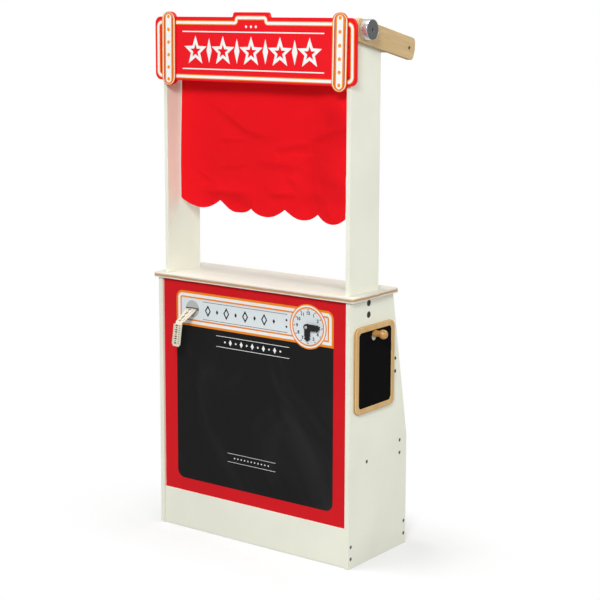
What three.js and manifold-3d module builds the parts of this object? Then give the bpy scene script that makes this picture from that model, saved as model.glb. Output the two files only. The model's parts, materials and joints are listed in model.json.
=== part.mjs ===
// A child's puppet theatre stand: a painted cabinet that stands on the floor, two posts that carry a sign
// and a roll-up curtain, a pair of tilting arms behind the sign, and a play shop's shelves at the back.
// Millimetres, +Z up, +X to the right of someone in the audience, +Y away from them.
// The origin is the middle of the plinth board's underside.
import * as THREE from 'three';
import { mergeVertices } from 'three/addons/utils/BufferGeometryUtils.js';
import Module from 'manifold-3d';

const wasm = await Module();
wasm.setup();

// Clearances
const seatGap = 0.3;
const boreClearance = 0.3;
const headInset = 0.3;
const overrun = 3;

// Facets of rounded corners and turned pieces
const cornerSteps = 6;
const turnedSteps = 28;
const pinSteps = 10;

// Cabinet
const cabinetWidth = 480;
const cabinetDepth = 200;
const sideHeight = 522.3;
const sideTopDepth = 145;
const sideStraightHeight = 225;
const sideBendRadius = 60;
const sideThickness = 10;
const plinthHeight = 78;
const plinthThickness = 10.4;
const plinthRecess = 2.8;
const frontPanelThickness = 5;
const frontPanelRecess = 5;
const counterThickness = 9;
const counterFrontOverhang = 6.5;
const counterBackOverhang = 6.6;
const counterSideOverhang = 10;
const counterCornerRadius = 8;

// Shop shelves, their lips and the bottom rail, all at the open back
const shelfThickness = 9;
const lowerShelfHeight = 196.7;
const upperShelfDrop = 155.6;
const lipThickness = 9;
const lipHeight = 50;
const lipDrop = 15.9;
const lowerLipInset = 18.9;
const upperLipInset = 6.9;
const lipCornerRadius = 4;
const railThickness = 9.6;
const railHeight = 50;
const railFloorGap = 9;
const railInset = 1.7;

// Posts
const postThickness = 8.6;
const postDepth = 99;
const postInsertion = 52.3;
const postTopDrop = 4.5;
const postTopRadius = 60;

// Sign board and the two bulb strips on it
const stageHeight = 393.7;
const signWidth = 491;
const signHeight = 125.4;
const signThickness = 6;
const signCornerRadius = 14;
const tabWidth = 89;
const tabRise = 9.3;
const tabCornerRadius = 5.5;
const tabFilletRadius = 3.5;
const stripWidth = 33.4;
const stripThickness = 3.2;
const stripSpacing = 415.2;
const stripOverrun = 10;

// Curtain roller, its knobs and the curtain
const rollerInset = 30.8;
const rollerDrop = 21.4;
const rollerRadius = 8.5;
const journalRadius = 5;
const journalGrip = 8;
const knobRadius = 19.4;
const knobLength = 16.5;
const knobEdge = 0.9;
const knobRim = 0.8;
const knobFaceDepth = 2.2;
const knobFaceThickness = 1.8;
const knobFaceHoleRadius = 2.8;
const curtainLength = 353.4;
const curtainSideGap = 3.5;
const curtainThickness = 1.2;
const curtainFoldDepth = 4.5;
const scallopDepth = 16;
const scallopCount = 5;

// Arms and the crossbar between their rear ends
const armThickness = 10;
const armTiltDegrees = 12.2;
const armAboveAxis = 18;
const armBelowAxis = 25;
const armFrontReach = 26;
const armRearReach = 175.5;
const armEndBow = 4;
const armBowRadius = 40;
const armFrontTopRadius = 10;
const armFrontBottomRadius = 12;
const armRearTopRadius = 9.5;
const armRearBottomRadius = 8;
const crossbarRadius = 10;
const crossbarReach = 155.3;

// Clock on the front panel
const clockX = 138.2;
const clockDrop = 58.8;
const handThickness = 2.6;
const handWidth = 12.6;
const hourHandLength = 28.4;
const minuteHandLength = 33;
const handTipLength = 5;
const arrowNotch = 2.4;
const pivotRadius = 2;
const pivotHeadRadius = 3.2;
const pivotHeadHeight = 1.3;
const pivotTailRadius = 5;
const pivotTailHeight = 1.6;
const spacerRadius = 5;
const spacerHeight = 1.4;

// Tickets: the strip out of the slot, the roll behind the panel and the roll's peg
const slotX = -154;
const slotDrop = 58;
const slotWidth = 31;
const slotHeight = 2.4;
const stripPaperWidth = 26;
const stripPaperThickness = 0.6;
const ticketReachShares = [[0.86, -0.5], [0.16, -0.92]];
const ticketLength = 49;
const ticketBendRadius = 2.4;
const ticketBendSteps = 4;
const rollPaperRadius = 24;
const rollBoreRadius = 6;
const rollDepth = 40;
const rollBelowSlot = 38;
const rollPegRadius = 5;
const rollPegOverhang = 4;
const rollPegSocket = 7;
const rollPegHeadRadius = 8;
const rollPegHeadHeight = 3;

// Chalkboard that hangs beside the counter, and its peg
const boardWidth = 131.8;
const boardHeight = 169;
const boardThickness = 6;
const boardFrameBar = 10.5;
const boardOuterRadius = 14;
const boardInnerRadius = 8.5;
const boardLipThickness = 2;
const boardRebate = 3;
const boardPanelThickness = 3.4;
const boardHoleRadius = 10.8;
const boardHoleMargin = 0.8;
const pegInset = 77.4;
const pegDrop = 70.1;
const pegShaftRadius = 6.8;
const pegNeckRadius = 6;
const pegBallRadius = 9.5;
const pegBallReach = 23;
const pegSocketDepth = 7.5;

// Screws, bolts and dowels
const screwHeadRadius = 3.5;
const screwHeadDepth = 2.6;
const screwShankRadius = 1.6;
const screwLength = 28;
const screwDriveRadius = 1.7;
const screwDriveDepth = 1.5;
const signScrewHeadRadius = 2.2;
const signScrewHeadDepth = 1.4;
const signScrewShankRadius = 1;
const signScrewLength = 16;
const signScrewDriveRadius = 1;
const signScrewDriveDepth = 0.8;
const signScrewInset = 2.2;
const knobScrewHeadRadius = 2.3;
const knobScrewHeadDepth = 1.2;
const knobScrewShankRadius = 1.2;
const knobScrewLength = 12;
const boltHeadRadius = 6.4;
const boltHeadHeight = 2.4;
const boltShankRadius = 3;
const boltEndRoom = 1;
const boltCrossWidth = 1.8;
const boltCrossLength = 7;
const boltCrossDepth = 1.4;
const boltInset = 51.7;
const boltFirstDrop = 8.9;
const boltSpacing = 22.8;
const nutRadius = 5.6;
const nutHeight = 5;
const nutSides = 6;
const dowelRadius = 2.5;
const slimDowelRadius = 1.5;
const dowelLength = 15;
const dowelEdge = 0.7;

// Places of fasteners, as shares of the board that they hold
const plinthScrewShares = [0.24, 0.55];
const lipScrewShares = [0.24, 0.76];
const shelfScrewShare = 0.31;
const signScrewShares = [0.13, 0.578];
const counterDowelShares = [0.14, 0.87];
const frontDowelShares = [0.18, 0.82];

// Places that several pieces share
const frontY = -(plinthRecess + plinthThickness / 2);
const sideOuterX = cabinetWidth / 2;
const sideInnerX = sideOuterX - sideThickness;
const panelFrontY = frontY + frontPanelRecess;
const frontPanelBackY = panelFrontY + frontPanelThickness;
const counterBottomZ = sideHeight + seatGap;
const counterTopZ = counterBottomZ + counterThickness;
const postOuterX = sideInnerX - seatGap;
const postInnerX = postOuterX - postThickness;
const postFrontY = frontPanelBackY + seatGap;
const postBackY = postFrontY + postDepth;
const postBottomZ = sideHeight - postInsertion;
const signBottomZ = counterTopZ + stageHeight;
const signTopZ = signBottomZ + signHeight;
const signFrontY = frontPanelBackY - signThickness;
const stripBackY = signFrontY - seatGap;
const postTopZ = signTopZ - postTopDrop;
const rollerY = postFrontY + rollerInset;
const rollerZ = signTopZ - rollerDrop;
const armInnerX = postOuterX + seatGap;
const armOuterX = armInnerX + armThickness;
const knobInnerX = armOuterX + seatGap;
const knobOuterX = knobInnerX + knobLength;
const journalEndX = knobInnerX + journalGrip;
const armTilt = THREE.MathUtils.degToRad(armTiltDegrees);
const clockZ = sideHeight - clockDrop;
const slotZ = sideHeight - slotDrop;
const pegY = frontY + pegInset;
const pegZ = sideHeight - pegDrop;
const holeZ = pegZ + pegShaftRadius + seatGap - boardHoleRadius;
const boardTopZ = holeZ + boardHoleRadius + boardHoleMargin + boardFrameBar;
const boardBackX = sideOuterX + seatGap;
const rollY = frontPanelBackY + rollDepth;
const rollZ = slotZ - rollBelowSlot;
const mirrored = [-1, 1];
const sideName = (side) => (side < 0 ? 'left' : 'right');

// Height at which a share of a run that starts at low lies
const atShare = (low, run, share) => low + run * share;

// The side panels' back edge leans forward above its straight part
function backEdgeY(z) {
  const rise = Math.max(z - sideStraightHeight, 0) / (sideHeight - sideStraightHeight);
  return frontY + cabinetDepth - rise * (cabinetDepth - sideTopDepth);
}

const upperShelfHeight = sideHeight - upperShelfDrop;
const lowerLip = lipPlace(lowerShelfHeight, lowerLipInset);
const upperLip = lipPlace(upperShelfHeight, upperLipInset);
const railBackY = frontY + cabinetDepth - railInset;

function lipPlace(shelfHeight, inset) {
  const bottom = shelfHeight - lipDrop;
  const back = backEdgeY(bottom + lipHeight) - inset;
  return { bottom, back, front: back - lipThickness };
}

// Finishes
function finish(color, roughness, metalness = 0) {
  return new THREE.MeshStandardMaterial({ color, roughness, metalness });
}
const creamPaint = finish('#eeeddd', 0.5);
const redPaint = finish('#cf1420', 0.45);
const stripPaint = finish('#f3e9df', 0.45);
const plywood = finish('#d8b483', 0.6);
const honeyWood = finish('#cf9350', 0.5);
const paleWood = finish('#dcc39c', 0.7);
const redCloth = finish('#d3101f', 0.9);
const chalkBlack = finish('#151515', 0.8);
const handBlack = finish('#1a1a1a', 0.5);
const steel = finish('#4b4440', 0.45, 0.8);
const brightMetal = finish('#c9ccd0', 0.3, 0.9);
const darkGrey = finish('#55585a', 0.7);
const paper = finish('#efeadb', 0.9);

// A closed solid from a closed geometry
function solid(geometry) {
  const bare = geometry.clone();
  bare.deleteAttribute('normal');
  bare.deleteAttribute('uv');
  const merged = mergeVertices(bare);
  const corners = Array.from(merged.index.array);
  const triVerts = [];
  for (let i = 0; i < corners.length; i += 3) {
    const [a, b, c] = corners.slice(i, i + 3);
    if (a !== b && b !== c && c !== a) triVerts.push(a, b, c);
  }
  const vertProperties = new Float32Array(merged.attributes.position.array);
  return new wasm.Manifold(new wasm.Mesh({ numProp: 3, vertProperties, triVerts: new Uint32Array(triVerts) }));
}

// A drawable geometry from a closed solid
function geometryOf(body) {
  const mesh = body.getMesh();
  const geometry = new THREE.BufferGeometry();
  geometry.setAttribute('position', new THREE.BufferAttribute(mesh.vertProperties, 3));
  geometry.setIndex(new THREE.BufferAttribute(mesh.triVerts, 1));
  geometry.computeVertexNormals();
  return geometry;
}

function joined(bodies) {
  return bodies.reduce((whole, body) => whole.add(body));
}

function cut(body, cutters) {
  return cutters.length ? body.subtract(joined(cutters)) : body;
}

const theatre = new THREE.Group();
theatre.name = 'puppet_theatre_stand';

function addPiece(name, body, material) {
  const mesh = new THREE.Mesh(geometryOf(body), material);
  mesh.name = name;
  theatre.add(mesh);
}

// Points of a polygon whose corners, given as [across, up, radius], are rounded by arcs
function roundedPoints(corners, steps = cornerSteps) {
  const points = [];
  corners.forEach(([x, y, radius], i) => {
    const corner = new THREE.Vector2(x, y);
    if (!radius) {
      points.push(corner);
      return;
    }
    const [px, py] = corners[(i + corners.length - 1) % corners.length];
    const [nx, ny] = corners[(i + 1) % corners.length];
    const back = new THREE.Vector2(px, py).sub(corner).normalize();
    const ahead = new THREE.Vector2(nx, ny).sub(corner).normalize();
    const half = Math.acos(THREE.MathUtils.clamp(back.dot(ahead), -1, 1)) / 2;
    const center = back.clone().add(ahead).normalize().multiplyScalar(radius / Math.sin(half)).add(corner);
    const start = back.clone().multiplyScalar(radius / Math.tan(half)).add(corner);
    const sweep = (Math.PI - 2 * half) * Math.sign(ahead.cross(back));
    for (let k = 0; k <= steps; k += 1) points.push(start.clone().rotateAround(center, sweep * k / steps));
  });
  return points;
}

// Plates: an outline drawn in two axes, with its thickness along the third
const axes = {
  x: new THREE.Vector3(1, 0, 0),
  y: new THREE.Vector3(0, 1, 0),
  z: new THREE.Vector3(0, 0, 1),
};
const plateFrames = {
  x: new THREE.Matrix4().makeBasis(axes.y, axes.z, axes.x),
  y: new THREE.Matrix4().makeBasis(axes.x, axes.z, axes.y.clone().negate()),
  z: new THREE.Matrix4().makeBasis(axes.x, axes.y, axes.z),
};

function plate(axis, points, low, high) {
  const shape = new THREE.Shape(points);
  const geometry = new THREE.ExtrudeGeometry(shape, { depth: high - low, bevelEnabled: false });
  geometry.applyMatrix4(plateFrames[axis]);
  const start = axis === 'y' ? high : low;
  const shift = axes[axis].clone().multiplyScalar(start);
  return solid(geometry.translate(shift.x, shift.y, shift.z));
}

function rectangle(left, bottom, right, top, radius = 0) {
  return roundedPoints([
    [left, bottom, radius],
    [right, bottom, radius],
    [right, top, radius],
    [left, top, radius],
  ]);
}

function box(x0, x1, y0, y1, z0, z1) {
  return plate('z', rectangle(x0, y0, x1, y1), z0, z1);
}

// Turned pieces: a profile of [radius, distance] points along a direction from a place
function turned(profile, place, direction, steps = turnedSteps) {
  const points = profile.map(([radius, distance]) => new THREE.Vector2(radius, distance));
  const geometry = new THREE.LatheGeometry(points, steps);
  geometry.applyQuaternion(new THREE.Quaternion().setFromUnitVectors(axes.y, direction));
  return solid(geometry.translate(place.x, place.y, place.z));
}

function rod(radius, place, direction, from, to, steps = turnedSteps) {
  return turned([[0, from], [radius, from], [radius, to], [0, to]], place, direction, steps);
}

const at = (x, y, z) => new THREE.Vector3(x, y, z);
const outward = (side) => axes.x.clone().multiplyScalar(side);
const inward = (side) => axes.x.clone().multiplyScalar(-side);

// Countersunk screw: its head's face is at the place, its point lies along the direction
function screw(size, place, direction) {
  const profile = [
    [0, size.driveDepth],
    [size.driveRadius, 0],
    [size.headRadius, 0],
    [size.shankRadius, size.headDepth],
    [size.shankRadius, size.length - size.shankRadius],
    [0, size.length],
  ];
  return turned(profile, place, direction, pinSteps);
}

// The hole for that screw, open past its head
function screwHole(size, place, direction) {
  const wide = size.headRadius + boreClearance;
  const narrow = size.shankRadius + boreClearance;
  const profile = [
    [0, -overrun],
    [wide, -overrun],
    [wide, boreClearance],
    [narrow, size.headDepth + boreClearance],
    [narrow, size.length + boreClearance],
    [0, size.length + boreClearance],
  ];
  return turned(profile, place, direction, pinSteps);
}

const panelScrew = {
  headRadius: screwHeadRadius,
  headDepth: screwHeadDepth,
  shankRadius: screwShankRadius,
  length: screwLength,
  driveRadius: screwDriveRadius,
  driveDepth: screwDriveDepth,
};
const signScrew = {
  headRadius: signScrewHeadRadius,
  headDepth: signScrewHeadDepth,
  shankRadius: signScrewShankRadius,
  length: signScrewLength,
  driveRadius: signScrewDriveRadius,
  driveDepth: signScrewDriveDepth,
};
const knobScrew = {
  headRadius: knobScrewHeadRadius,
  headDepth: knobScrewHeadDepth,
  shankRadius: knobScrewShankRadius,
  length: knobScrewLength,
  driveRadius: signScrewDriveRadius,
  driveDepth: signScrewDriveDepth,
};

// Where the screws go into one side panel's face, as [y, z]
const lipMiddleY = (lip) => lip.back - lipThickness / 2;
const shelfScrewY = (lip) => atShare(frontPanelBackY, lip.front - frontPanelBackY, shelfScrewShare);
const lipScrewPlaces = (lip) => lipScrewShares.map((share) => (
  [lipMiddleY(lip), atShare(lip.bottom, lipHeight, share)]
));
const plinthScrewPlaces = plinthScrewShares.map((share) => [0, plinthHeight * share]);
const railScrewPlaces = lipScrewShares.map((share) => (
  [railBackY - railThickness / 2, atShare(railFloorGap, railHeight, share)]
));
const lowerShelfScrewPlaces = [[shelfScrewY(lowerLip), lowerShelfHeight + shelfThickness / 2]];
const upperShelfScrewPlaces = [[shelfScrewY(upperLip), upperShelfHeight + shelfThickness / 2]];
const screwFaceX = sideOuterX - headInset;
const screwsAt = (places) => mirrored.flatMap((side) => places.map(([y, z]) => ({
  place: at(side * screwFaceX, y, z),
  direction: inward(side),
})));
const screwHoles = screwsAt([
  ...plinthScrewPlaces,
  ...railScrewPlaces,
  ...lipScrewPlaces(lowerLip),
  ...lipScrewPlaces(upperLip),
  ...lowerShelfScrewPlaces,
  ...upperShelfScrewPlaces,
]).map(({ place, direction }) => screwHole(panelScrew, place, direction));

// A board with the screws that hold its ends: they go through both side panels and grip it
function screwed(board, places) {
  return joined([board, ...screwsAt(places).map(({ place, direction }) => screw(panelScrew, place, direction))]);
}

// Wooden dowels between the counter, the side panels and the front panel
const counterDowelZ = (sideHeight + counterBottomZ) / 2;
const dowels = mirrored.flatMap((side) => [
  ...counterDowelShares.map((share) => ({
    place: at(side * (sideOuterX - sideThickness / 2), atShare(frontY, sideTopDepth, share), counterDowelZ),
    direction: axes.z,
    radius: dowelRadius,
  })),
  ...frontDowelShares.map((share) => ({
    place: at(
      side * (sideInnerX - seatGap / 2),
      panelFrontY + frontPanelThickness / 2,
      atShare(plinthHeight, sideHeight - plinthHeight, share),
    ),
    direction: outward(side),
    radius: slimDowelRadius,
  })),
]);
const dowelHalf = dowelLength / 2;
const dowelHoles = dowels.map(({ place, direction, radius }) => rod(
  radius + boreClearance,
  place,
  direction,
  -dowelHalf - boreClearance,
  dowelHalf + boreClearance,
  pinSteps,
));

function dowel({ place, direction, radius }) {
  const profile = [
    [0, -dowelHalf],
    [radius - dowelEdge, -dowelHalf],
    [radius, dowelEdge - dowelHalf],
    [radius, dowelHalf - dowelEdge],
    [radius - dowelEdge, dowelHalf],
    [0, dowelHalf],
  ];
  return turned(profile, place, direction, pinSteps);
}

// Bolts that clamp the posts inside the side panels
const boltZs = [boltFirstDrop, boltFirstDrop + boltSpacing].map((drop) => sideHeight - drop);
const boltEnd = screwFaceX - postInnerX + seatGap + nutHeight + boltEndRoom;
const boltPlaces = mirrored.flatMap((side) => boltZs.map((z) => ({
  place: at(side * screwFaceX, postFrontY + boltInset, z),
  direction: inward(side),
})));

function bolt({ place, direction }) {
  const body = turned([
    [0, 0],
    [boltHeadRadius, 0],
    [boltHeadRadius, boltHeadHeight],
    [boltShankRadius, boltHeadHeight],
    [boltShankRadius, boltEnd],
    [0, boltEnd],
  ], place, direction, turnedSteps / 2);
  const half = boltCrossLength / 2;
  const slim = boltCrossWidth / 2;
  const bars = [[half, slim], [slim, half]].map(([y, z]) => box(
    place.x - boltCrossDepth,
    place.x + boltCrossDepth,
    place.y - y,
    place.y + y,
    place.z - z,
    place.z + z,
  ));
  return cut(body, bars);
}

function boltHole({ place, direction }) {
  return turned([
    [0, -overrun],
    [boltHeadRadius + boreClearance, -overrun],
    [boltHeadRadius + boreClearance, boltHeadHeight + boreClearance],
    [boltShankRadius + boreClearance, boltHeadHeight + boreClearance],
    [boltShankRadius + boreClearance, boltEnd + overrun],
    [0, boltEnd + overrun],
  ], place, direction, turnedSteps / 2);
}

function nut({ place, direction }) {
  const face = at(Math.sign(place.x) * (postInnerX - seatGap), place.y, place.z);
  const block = rod(nutRadius, face, direction, 0, nutHeight, nutSides);
  const bore = rod(boltShankRadius + boreClearance, face, direction, -overrun, nutHeight + overrun, pinSteps);
  return block.subtract(bore);
}
const boltHoles = boltPlaces.map(boltHole);

// Pegs: one carries the hanging chalkboard outside, one the ticket roll inside
const pegHole = rod(
  pegShaftRadius + boreClearance,
  at(sideOuterX, pegY, pegZ),
  axes.x,
  -pegSocketDepth,
  overrun,
);
const rollPegEndX = slotX + slotWidth / 2 + rollPegOverhang;
const rollPegHole = rod(
  rollPegRadius + boreClearance,
  at(-sideInnerX, rollY, rollZ),
  axes.x,
  -rollPegSocket,
  overrun,
);

// Cabinet boards
function sidePanel(side) {
  const outline = roundedPoints([
    [frontY, 0, 0],
    [frontY + cabinetDepth, 0, 0],
    [frontY + cabinetDepth, sideStraightHeight, sideBendRadius],
    [frontY + sideTopDepth, sideHeight, 0],
    [frontY, sideHeight, 0],
  ]);
  const faces = [side * sideInnerX, side * sideOuterX].sort((a, b) => a - b);
  const board = plate('x', outline, ...faces);
  return cut(board, [...screwHoles, ...boltHoles, ...dowelHoles, side > 0 ? pegHole : rollPegHole]);
}

const innerHalf = sideInnerX - seatGap;

function plinthBoard() {
  const half = plinthThickness / 2;
  return screwed(box(-innerHalf, innerHalf, -half, half, 0, plinthHeight), plinthScrewPlaces);
}

function frontPanel() {
  const board = box(-innerHalf, innerHalf, panelFrontY, frontPanelBackY, plinthHeight + seatGap, sideHeight);
  const slotOutline = rectangle(
    slotX - slotWidth / 2,
    slotZ - slotHeight / 2,
    slotX + slotWidth / 2,
    slotZ + slotHeight / 2,
    slotHeight / 2 - boreClearance,
  );
  const slot = plate('y', slotOutline, panelFrontY - overrun, frontPanelBackY + overrun);
  const bore = rod(
    pivotRadius + boreClearance,
    at(clockX, panelFrontY, clockZ),
    axes.y,
    -overrun,
    frontPanelThickness + overrun,
    pinSteps,
  );
  return cut(board, [slot, bore, ...dowelHoles]);
}

function counterTop() {
  const half = sideOuterX + counterSideOverhang;
  const back = frontY + sideTopDepth + counterBackOverhang;
  const outline = rectangle(-half, frontY - counterFrontOverhang, half, back, counterCornerRadius);
  const board = plate('z', outline, counterBottomZ, counterTopZ);
  const slots = mirrored.map((side) => {
    const edges = [side * (postInnerX - boreClearance), side * (postOuterX + boreClearance)];
    edges.sort((a, b) => a - b);
    return box(
      ...edges,
      postFrontY - boreClearance,
      postBackY + boreClearance,
      counterBottomZ - overrun,
      counterTopZ + overrun,
    );
  });
  return cut(board, [...slots, ...dowelHoles]);
}

function shelf(height, lip, screwPlaces) {
  const board = box(
    -innerHalf,
    innerHalf,
    frontPanelBackY + seatGap,
    lip.front - seatGap,
    height,
    height + shelfThickness,
  );
  return screwed(board, screwPlaces);
}

function crossBoard(back, thickness, bottom, height, screwPlaces) {
  const outline = rectangle(-innerHalf, bottom, innerHalf, bottom + height, lipCornerRadius);
  return screwed(plate('y', outline, back - thickness, back), screwPlaces);
}

function shelfLip(lip) {
  return crossBoard(lip.back, lipThickness, lip.bottom, lipHeight, lipScrewPlaces(lip));
}

mirrored.forEach((side) => addPiece(`side_panel_${sideName(side)}`, sidePanel(side), creamPaint));
addPiece('plinth_board', plinthBoard(), creamPaint);
addPiece('front_panel', frontPanel(), redPaint);
addPiece('counter_top', counterTop(), plywood);
addPiece('shelf_lower', shelf(lowerShelfHeight, lowerLip, lowerShelfScrewPlaces), creamPaint);
addPiece('shelf_upper', shelf(upperShelfHeight, upperLip, upperShelfScrewPlaces), creamPaint);
addPiece('shelf_lip_lower', shelfLip(lowerLip), redPaint);
addPiece('shelf_lip_upper', shelfLip(upperLip), redPaint);
const rail = crossBoard(railBackY, railThickness, railFloorGap, railHeight, railScrewPlaces);
addPiece('back_rail', rail, creamPaint);

// Posts, with a bore for the roller's journal and holes for bolts and sign screws
const signScrewX = postOuterX - signScrewInset;
const signScrews = mirrored.flatMap((side) => signScrewShares.map((share) => ({
  place: at(side * signScrewX, signFrontY, atShare(signBottomZ, signHeight, share)),
  direction: axes.y,
})));
const signScrewHoles = signScrews.map(({ place, direction }) => screwHole(signScrew, place, direction));
const journalHole = rod(
  journalRadius + boreClearance,
  at(0, rollerY, rollerZ),
  axes.x,
  -knobOuterX,
  knobOuterX,
);

function post(side) {
  const outline = roundedPoints([
    [postFrontY, postBottomZ, 0],
    [postBackY, postBottomZ, 0],
    [postBackY, postTopZ, postTopRadius],
    [postFrontY, postTopZ, 0],
  ], 2 * cornerSteps);
  const faces = [side * postInnerX, side * postOuterX].sort((a, b) => a - b);
  return cut(plate('x', outline, ...faces), [...boltHoles, ...signScrewHoles, journalHole]);
}

mirrored.forEach((side) => addPiece(`post_${sideName(side)}`, post(side), creamPaint));

// Sign board: a rounded board with a tab on top and a round-ended backing behind each bulb strip
function pill(x, width, bottom, top, low, high) {
  const points = rectangle(x - width / 2, bottom, x + width / 2, top, width / 2);
  return plate('y', points, low, high);
}

function signBoard() {
  const half = signWidth / 2;
  const tab = tabWidth / 2;
  const outline = roundedPoints([
    [-half, signBottomZ, signCornerRadius],
    [half, signBottomZ, signCornerRadius],
    [half, signTopZ, signCornerRadius],
    [tab, signTopZ, tabFilletRadius],
    [tab, signTopZ + tabRise, tabCornerRadius],
    [-tab, signTopZ + tabRise, tabCornerRadius],
    [-tab, signTopZ, tabFilletRadius],
    [-half, signTopZ, signCornerRadius],
  ]);
  const backings = mirrored.map((side) => pill(
    side * stripSpacing / 2,
    stripWidth,
    signBottomZ - stripOverrun,
    signTopZ + stripOverrun,
    signFrontY,
    frontPanelBackY,
  ));
  return cut(joined([plate('y', outline, signFrontY, frontPanelBackY), ...backings]), signScrewHoles);
}

function bulbStrip(side) {
  return pill(
    side * stripSpacing / 2,
    stripWidth,
    signBottomZ - stripOverrun,
    signTopZ + stripOverrun,
    stripBackY - stripThickness,
    stripBackY,
  );
}

addPiece('sign_board', signBoard(), redPaint);
mirrored.forEach((side) => addPiece(`bulb_strip_${sideName(side)}`, bulbStrip(side), stripPaint));

// Curtain roller: its journals run in the posts and arms and carry a knob at each end
const rollerPlace = at(0, rollerY, rollerZ);
const knobFloor = knobLength - knobFaceDepth;
const knobScrews = mirrored.map((side) => ({
  place: at(side * (knobInnerX + knobFloor), rollerY, rollerZ),
  direction: inward(side),
}));
const knobScrewHoles = knobScrews.map(({ place, direction }) => screwHole(knobScrew, place, direction));

function curtainRoller() {
  const body = postInnerX - seatGap;
  const profile = [
    [0, -journalEndX],
    [journalRadius, -journalEndX],
    [journalRadius, -body],
    [rollerRadius, -body],
    [rollerRadius, body],
    [journalRadius, body],
    [journalRadius, journalEndX],
    [0, journalEndX],
  ];
  return cut(turned(profile, rollerPlace, axes.x), knobScrewHoles);
}

function knob(side) {
  const place = at(side * knobInnerX, rollerY, rollerZ);
  const faceRadius = knobRadius - knobRim;
  const profile = [
    [0, 0],
    [knobRadius - knobEdge, 0],
    [knobRadius, knobEdge],
    [knobRadius, knobLength - knobEdge],
    [knobRadius - knobEdge, knobLength],
    [faceRadius, knobLength],
    [faceRadius, knobFloor],
    [0, knobFloor],
  ];
  const socket = rod(journalRadius + boreClearance, place, outward(side), -overrun, journalGrip + boreClearance);
  return cut(turned(profile, place, outward(side)), [socket, ...knobScrewHoles]);
}

function knobFace(side) {
  const place = at(side * (knobInnerX + knobFloor + seatGap), rollerY, rollerZ);
  const disc = rod(knobRadius - knobRim - boreClearance, place, outward(side), 0, knobFaceThickness);
  const hole = rod(knobFaceHoleRadius, place, outward(side), -overrun, knobFaceThickness + overrun, pinSteps);
  return disc.subtract(hole);
}

addPiece('curtain_roller', curtainRoller(), paleWood);
mirrored.forEach((side) => {
  addPiece(`roller_knob_${sideName(side)}`, knob(side), brightMetal);
  addPiece(`knob_face_${sideName(side)}`, knobFace(side), darkGrey);
});

// Curtain: a sheet that leaves the roller's back, falls in soft folds and ends in round scallops
const curtainColumnsPerScallop = 8;
const curtainRows = 9;
const foldWaves = [
  { count: 3, share: 0.5, turnShare: 0.1 },
  { count: 7, share: 0.3, turnShare: 0.45 },
  { count: 11, share: 0.2, turnShare: 0.8 },
];

function curtainY(across, down) {
  const wave = foldWaves.reduce((sum, { count, share, turnShare }) => (
    sum + share * Math.sin(Math.PI * (count * across + 2 * turnShare))
  ), 0);
  const ease = down * (2 - down);
  return rollerY + rollerRadius + seatGap + curtainThickness / 2 + curtainFoldDepth * ease * (1 + wave);
}

function curtain() {
  const half = postInnerX - curtainSideGap;
  const columns = scallopCount * curtainColumnsPerScallop;
  const positions = [];
  const indices = [];
  const stride = (columns + 1) * (curtainRows + 1);
  const vertex = (face, column, row) => face * stride + column * (curtainRows + 1) + row;
  mirrored.forEach((side) => {
    for (let column = 0; column <= columns; column += 1) {
      const across = column / columns;
      const inScallop = (across * scallopCount) % 1;
      const scallop = 4 * inScallop * (1 - inScallop) * scallopDepth;
      for (let row = 0; row <= curtainRows; row += 1) {
        const down = row / curtainRows;
        positions.push(
          half * (2 * across - 1),
          curtainY(across, down) + side * curtainThickness / 2,
          rollerZ - down * (curtainLength + scallop),
        );
      }
    }
  });
  const quad = (a, b, c, d) => indices.push(a, b, c, a, c, d);
  for (let column = 0; column < columns; column += 1) {
    for (let row = 0; row < curtainRows; row += 1) {
      const corner = (face) => [
        vertex(face, column, row),
        vertex(face, column, row + 1),
        vertex(face, column + 1, row + 1),
        vertex(face, column + 1, row),
      ];
      quad(...corner(0));
      quad(...corner(1).reverse());
    }
    const edge = (row) => [
      vertex(0, column, row),
      vertex(0, column + 1, row),
      vertex(1, column + 1, row),
      vertex(1, column, row),
    ];
    quad(...edge(0));
    quad(...edge(curtainRows).reverse());
  }
  for (let row = 0; row < curtainRows; row += 1) {
    const edge = (column) => [
      vertex(0, column, row),
      vertex(1, column, row),
      vertex(1, column, row + 1),
      vertex(0, column, row + 1),
    ];
    quad(...edge(0));
    quad(...edge(columns).reverse());
  }
  const geometry = new THREE.BufferGeometry();
  geometry.setAttribute('position', new THREE.Float32BufferAttribute(positions, 3));
  geometry.setIndex(indices);
  return solid(geometry);
}

addPiece('curtain', curtain(), redCloth);

// Arms: each turns on a journal and slopes down to the back, with a crossbar between the rear ends
function armPoint(reach, rise) {
  return [
    rollerY + reach * Math.cos(armTilt) + rise * Math.sin(armTilt),
    rollerZ - reach * Math.sin(armTilt) + rise * Math.cos(armTilt),
  ];
}
const [crossbarY, crossbarZ] = armPoint(crossbarReach, (armAboveAxis - armBelowAxis) / 2);
const armScrews = mirrored.map((side) => ({
  place: at(side * (armOuterX - headInset), crossbarY, crossbarZ),
  direction: inward(side),
}));
const armScrewHoles = armScrews.map(({ place, direction }) => screwHole(panelScrew, place, direction));

function arm(side) {
  const middle = (armAboveAxis - armBelowAxis) / 2;
  const outline = roundedPoints([
    [...armPoint(-armFrontReach, -armBelowAxis), armFrontBottomRadius],
    [...armPoint(armRearReach - armEndBow, -armBelowAxis), armRearBottomRadius],
    [...armPoint(armRearReach, middle), armBowRadius],
    [...armPoint(armRearReach - armEndBow, armAboveAxis), armRearTopRadius],
    [...armPoint(-armFrontReach, armAboveAxis), armFrontTopRadius],
  ]);
  const faces = [side * armInnerX, side * armOuterX].sort((a, b) => a - b);
  return cut(plate('x', outline, ...faces), [journalHole, ...armScrewHoles]);
}

function armCrossbar() {
  const end = armInnerX - seatGap;
  return cut(rod(crossbarRadius, at(0, crossbarY, crossbarZ), axes.x, -end, end), armScrewHoles);
}

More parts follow.
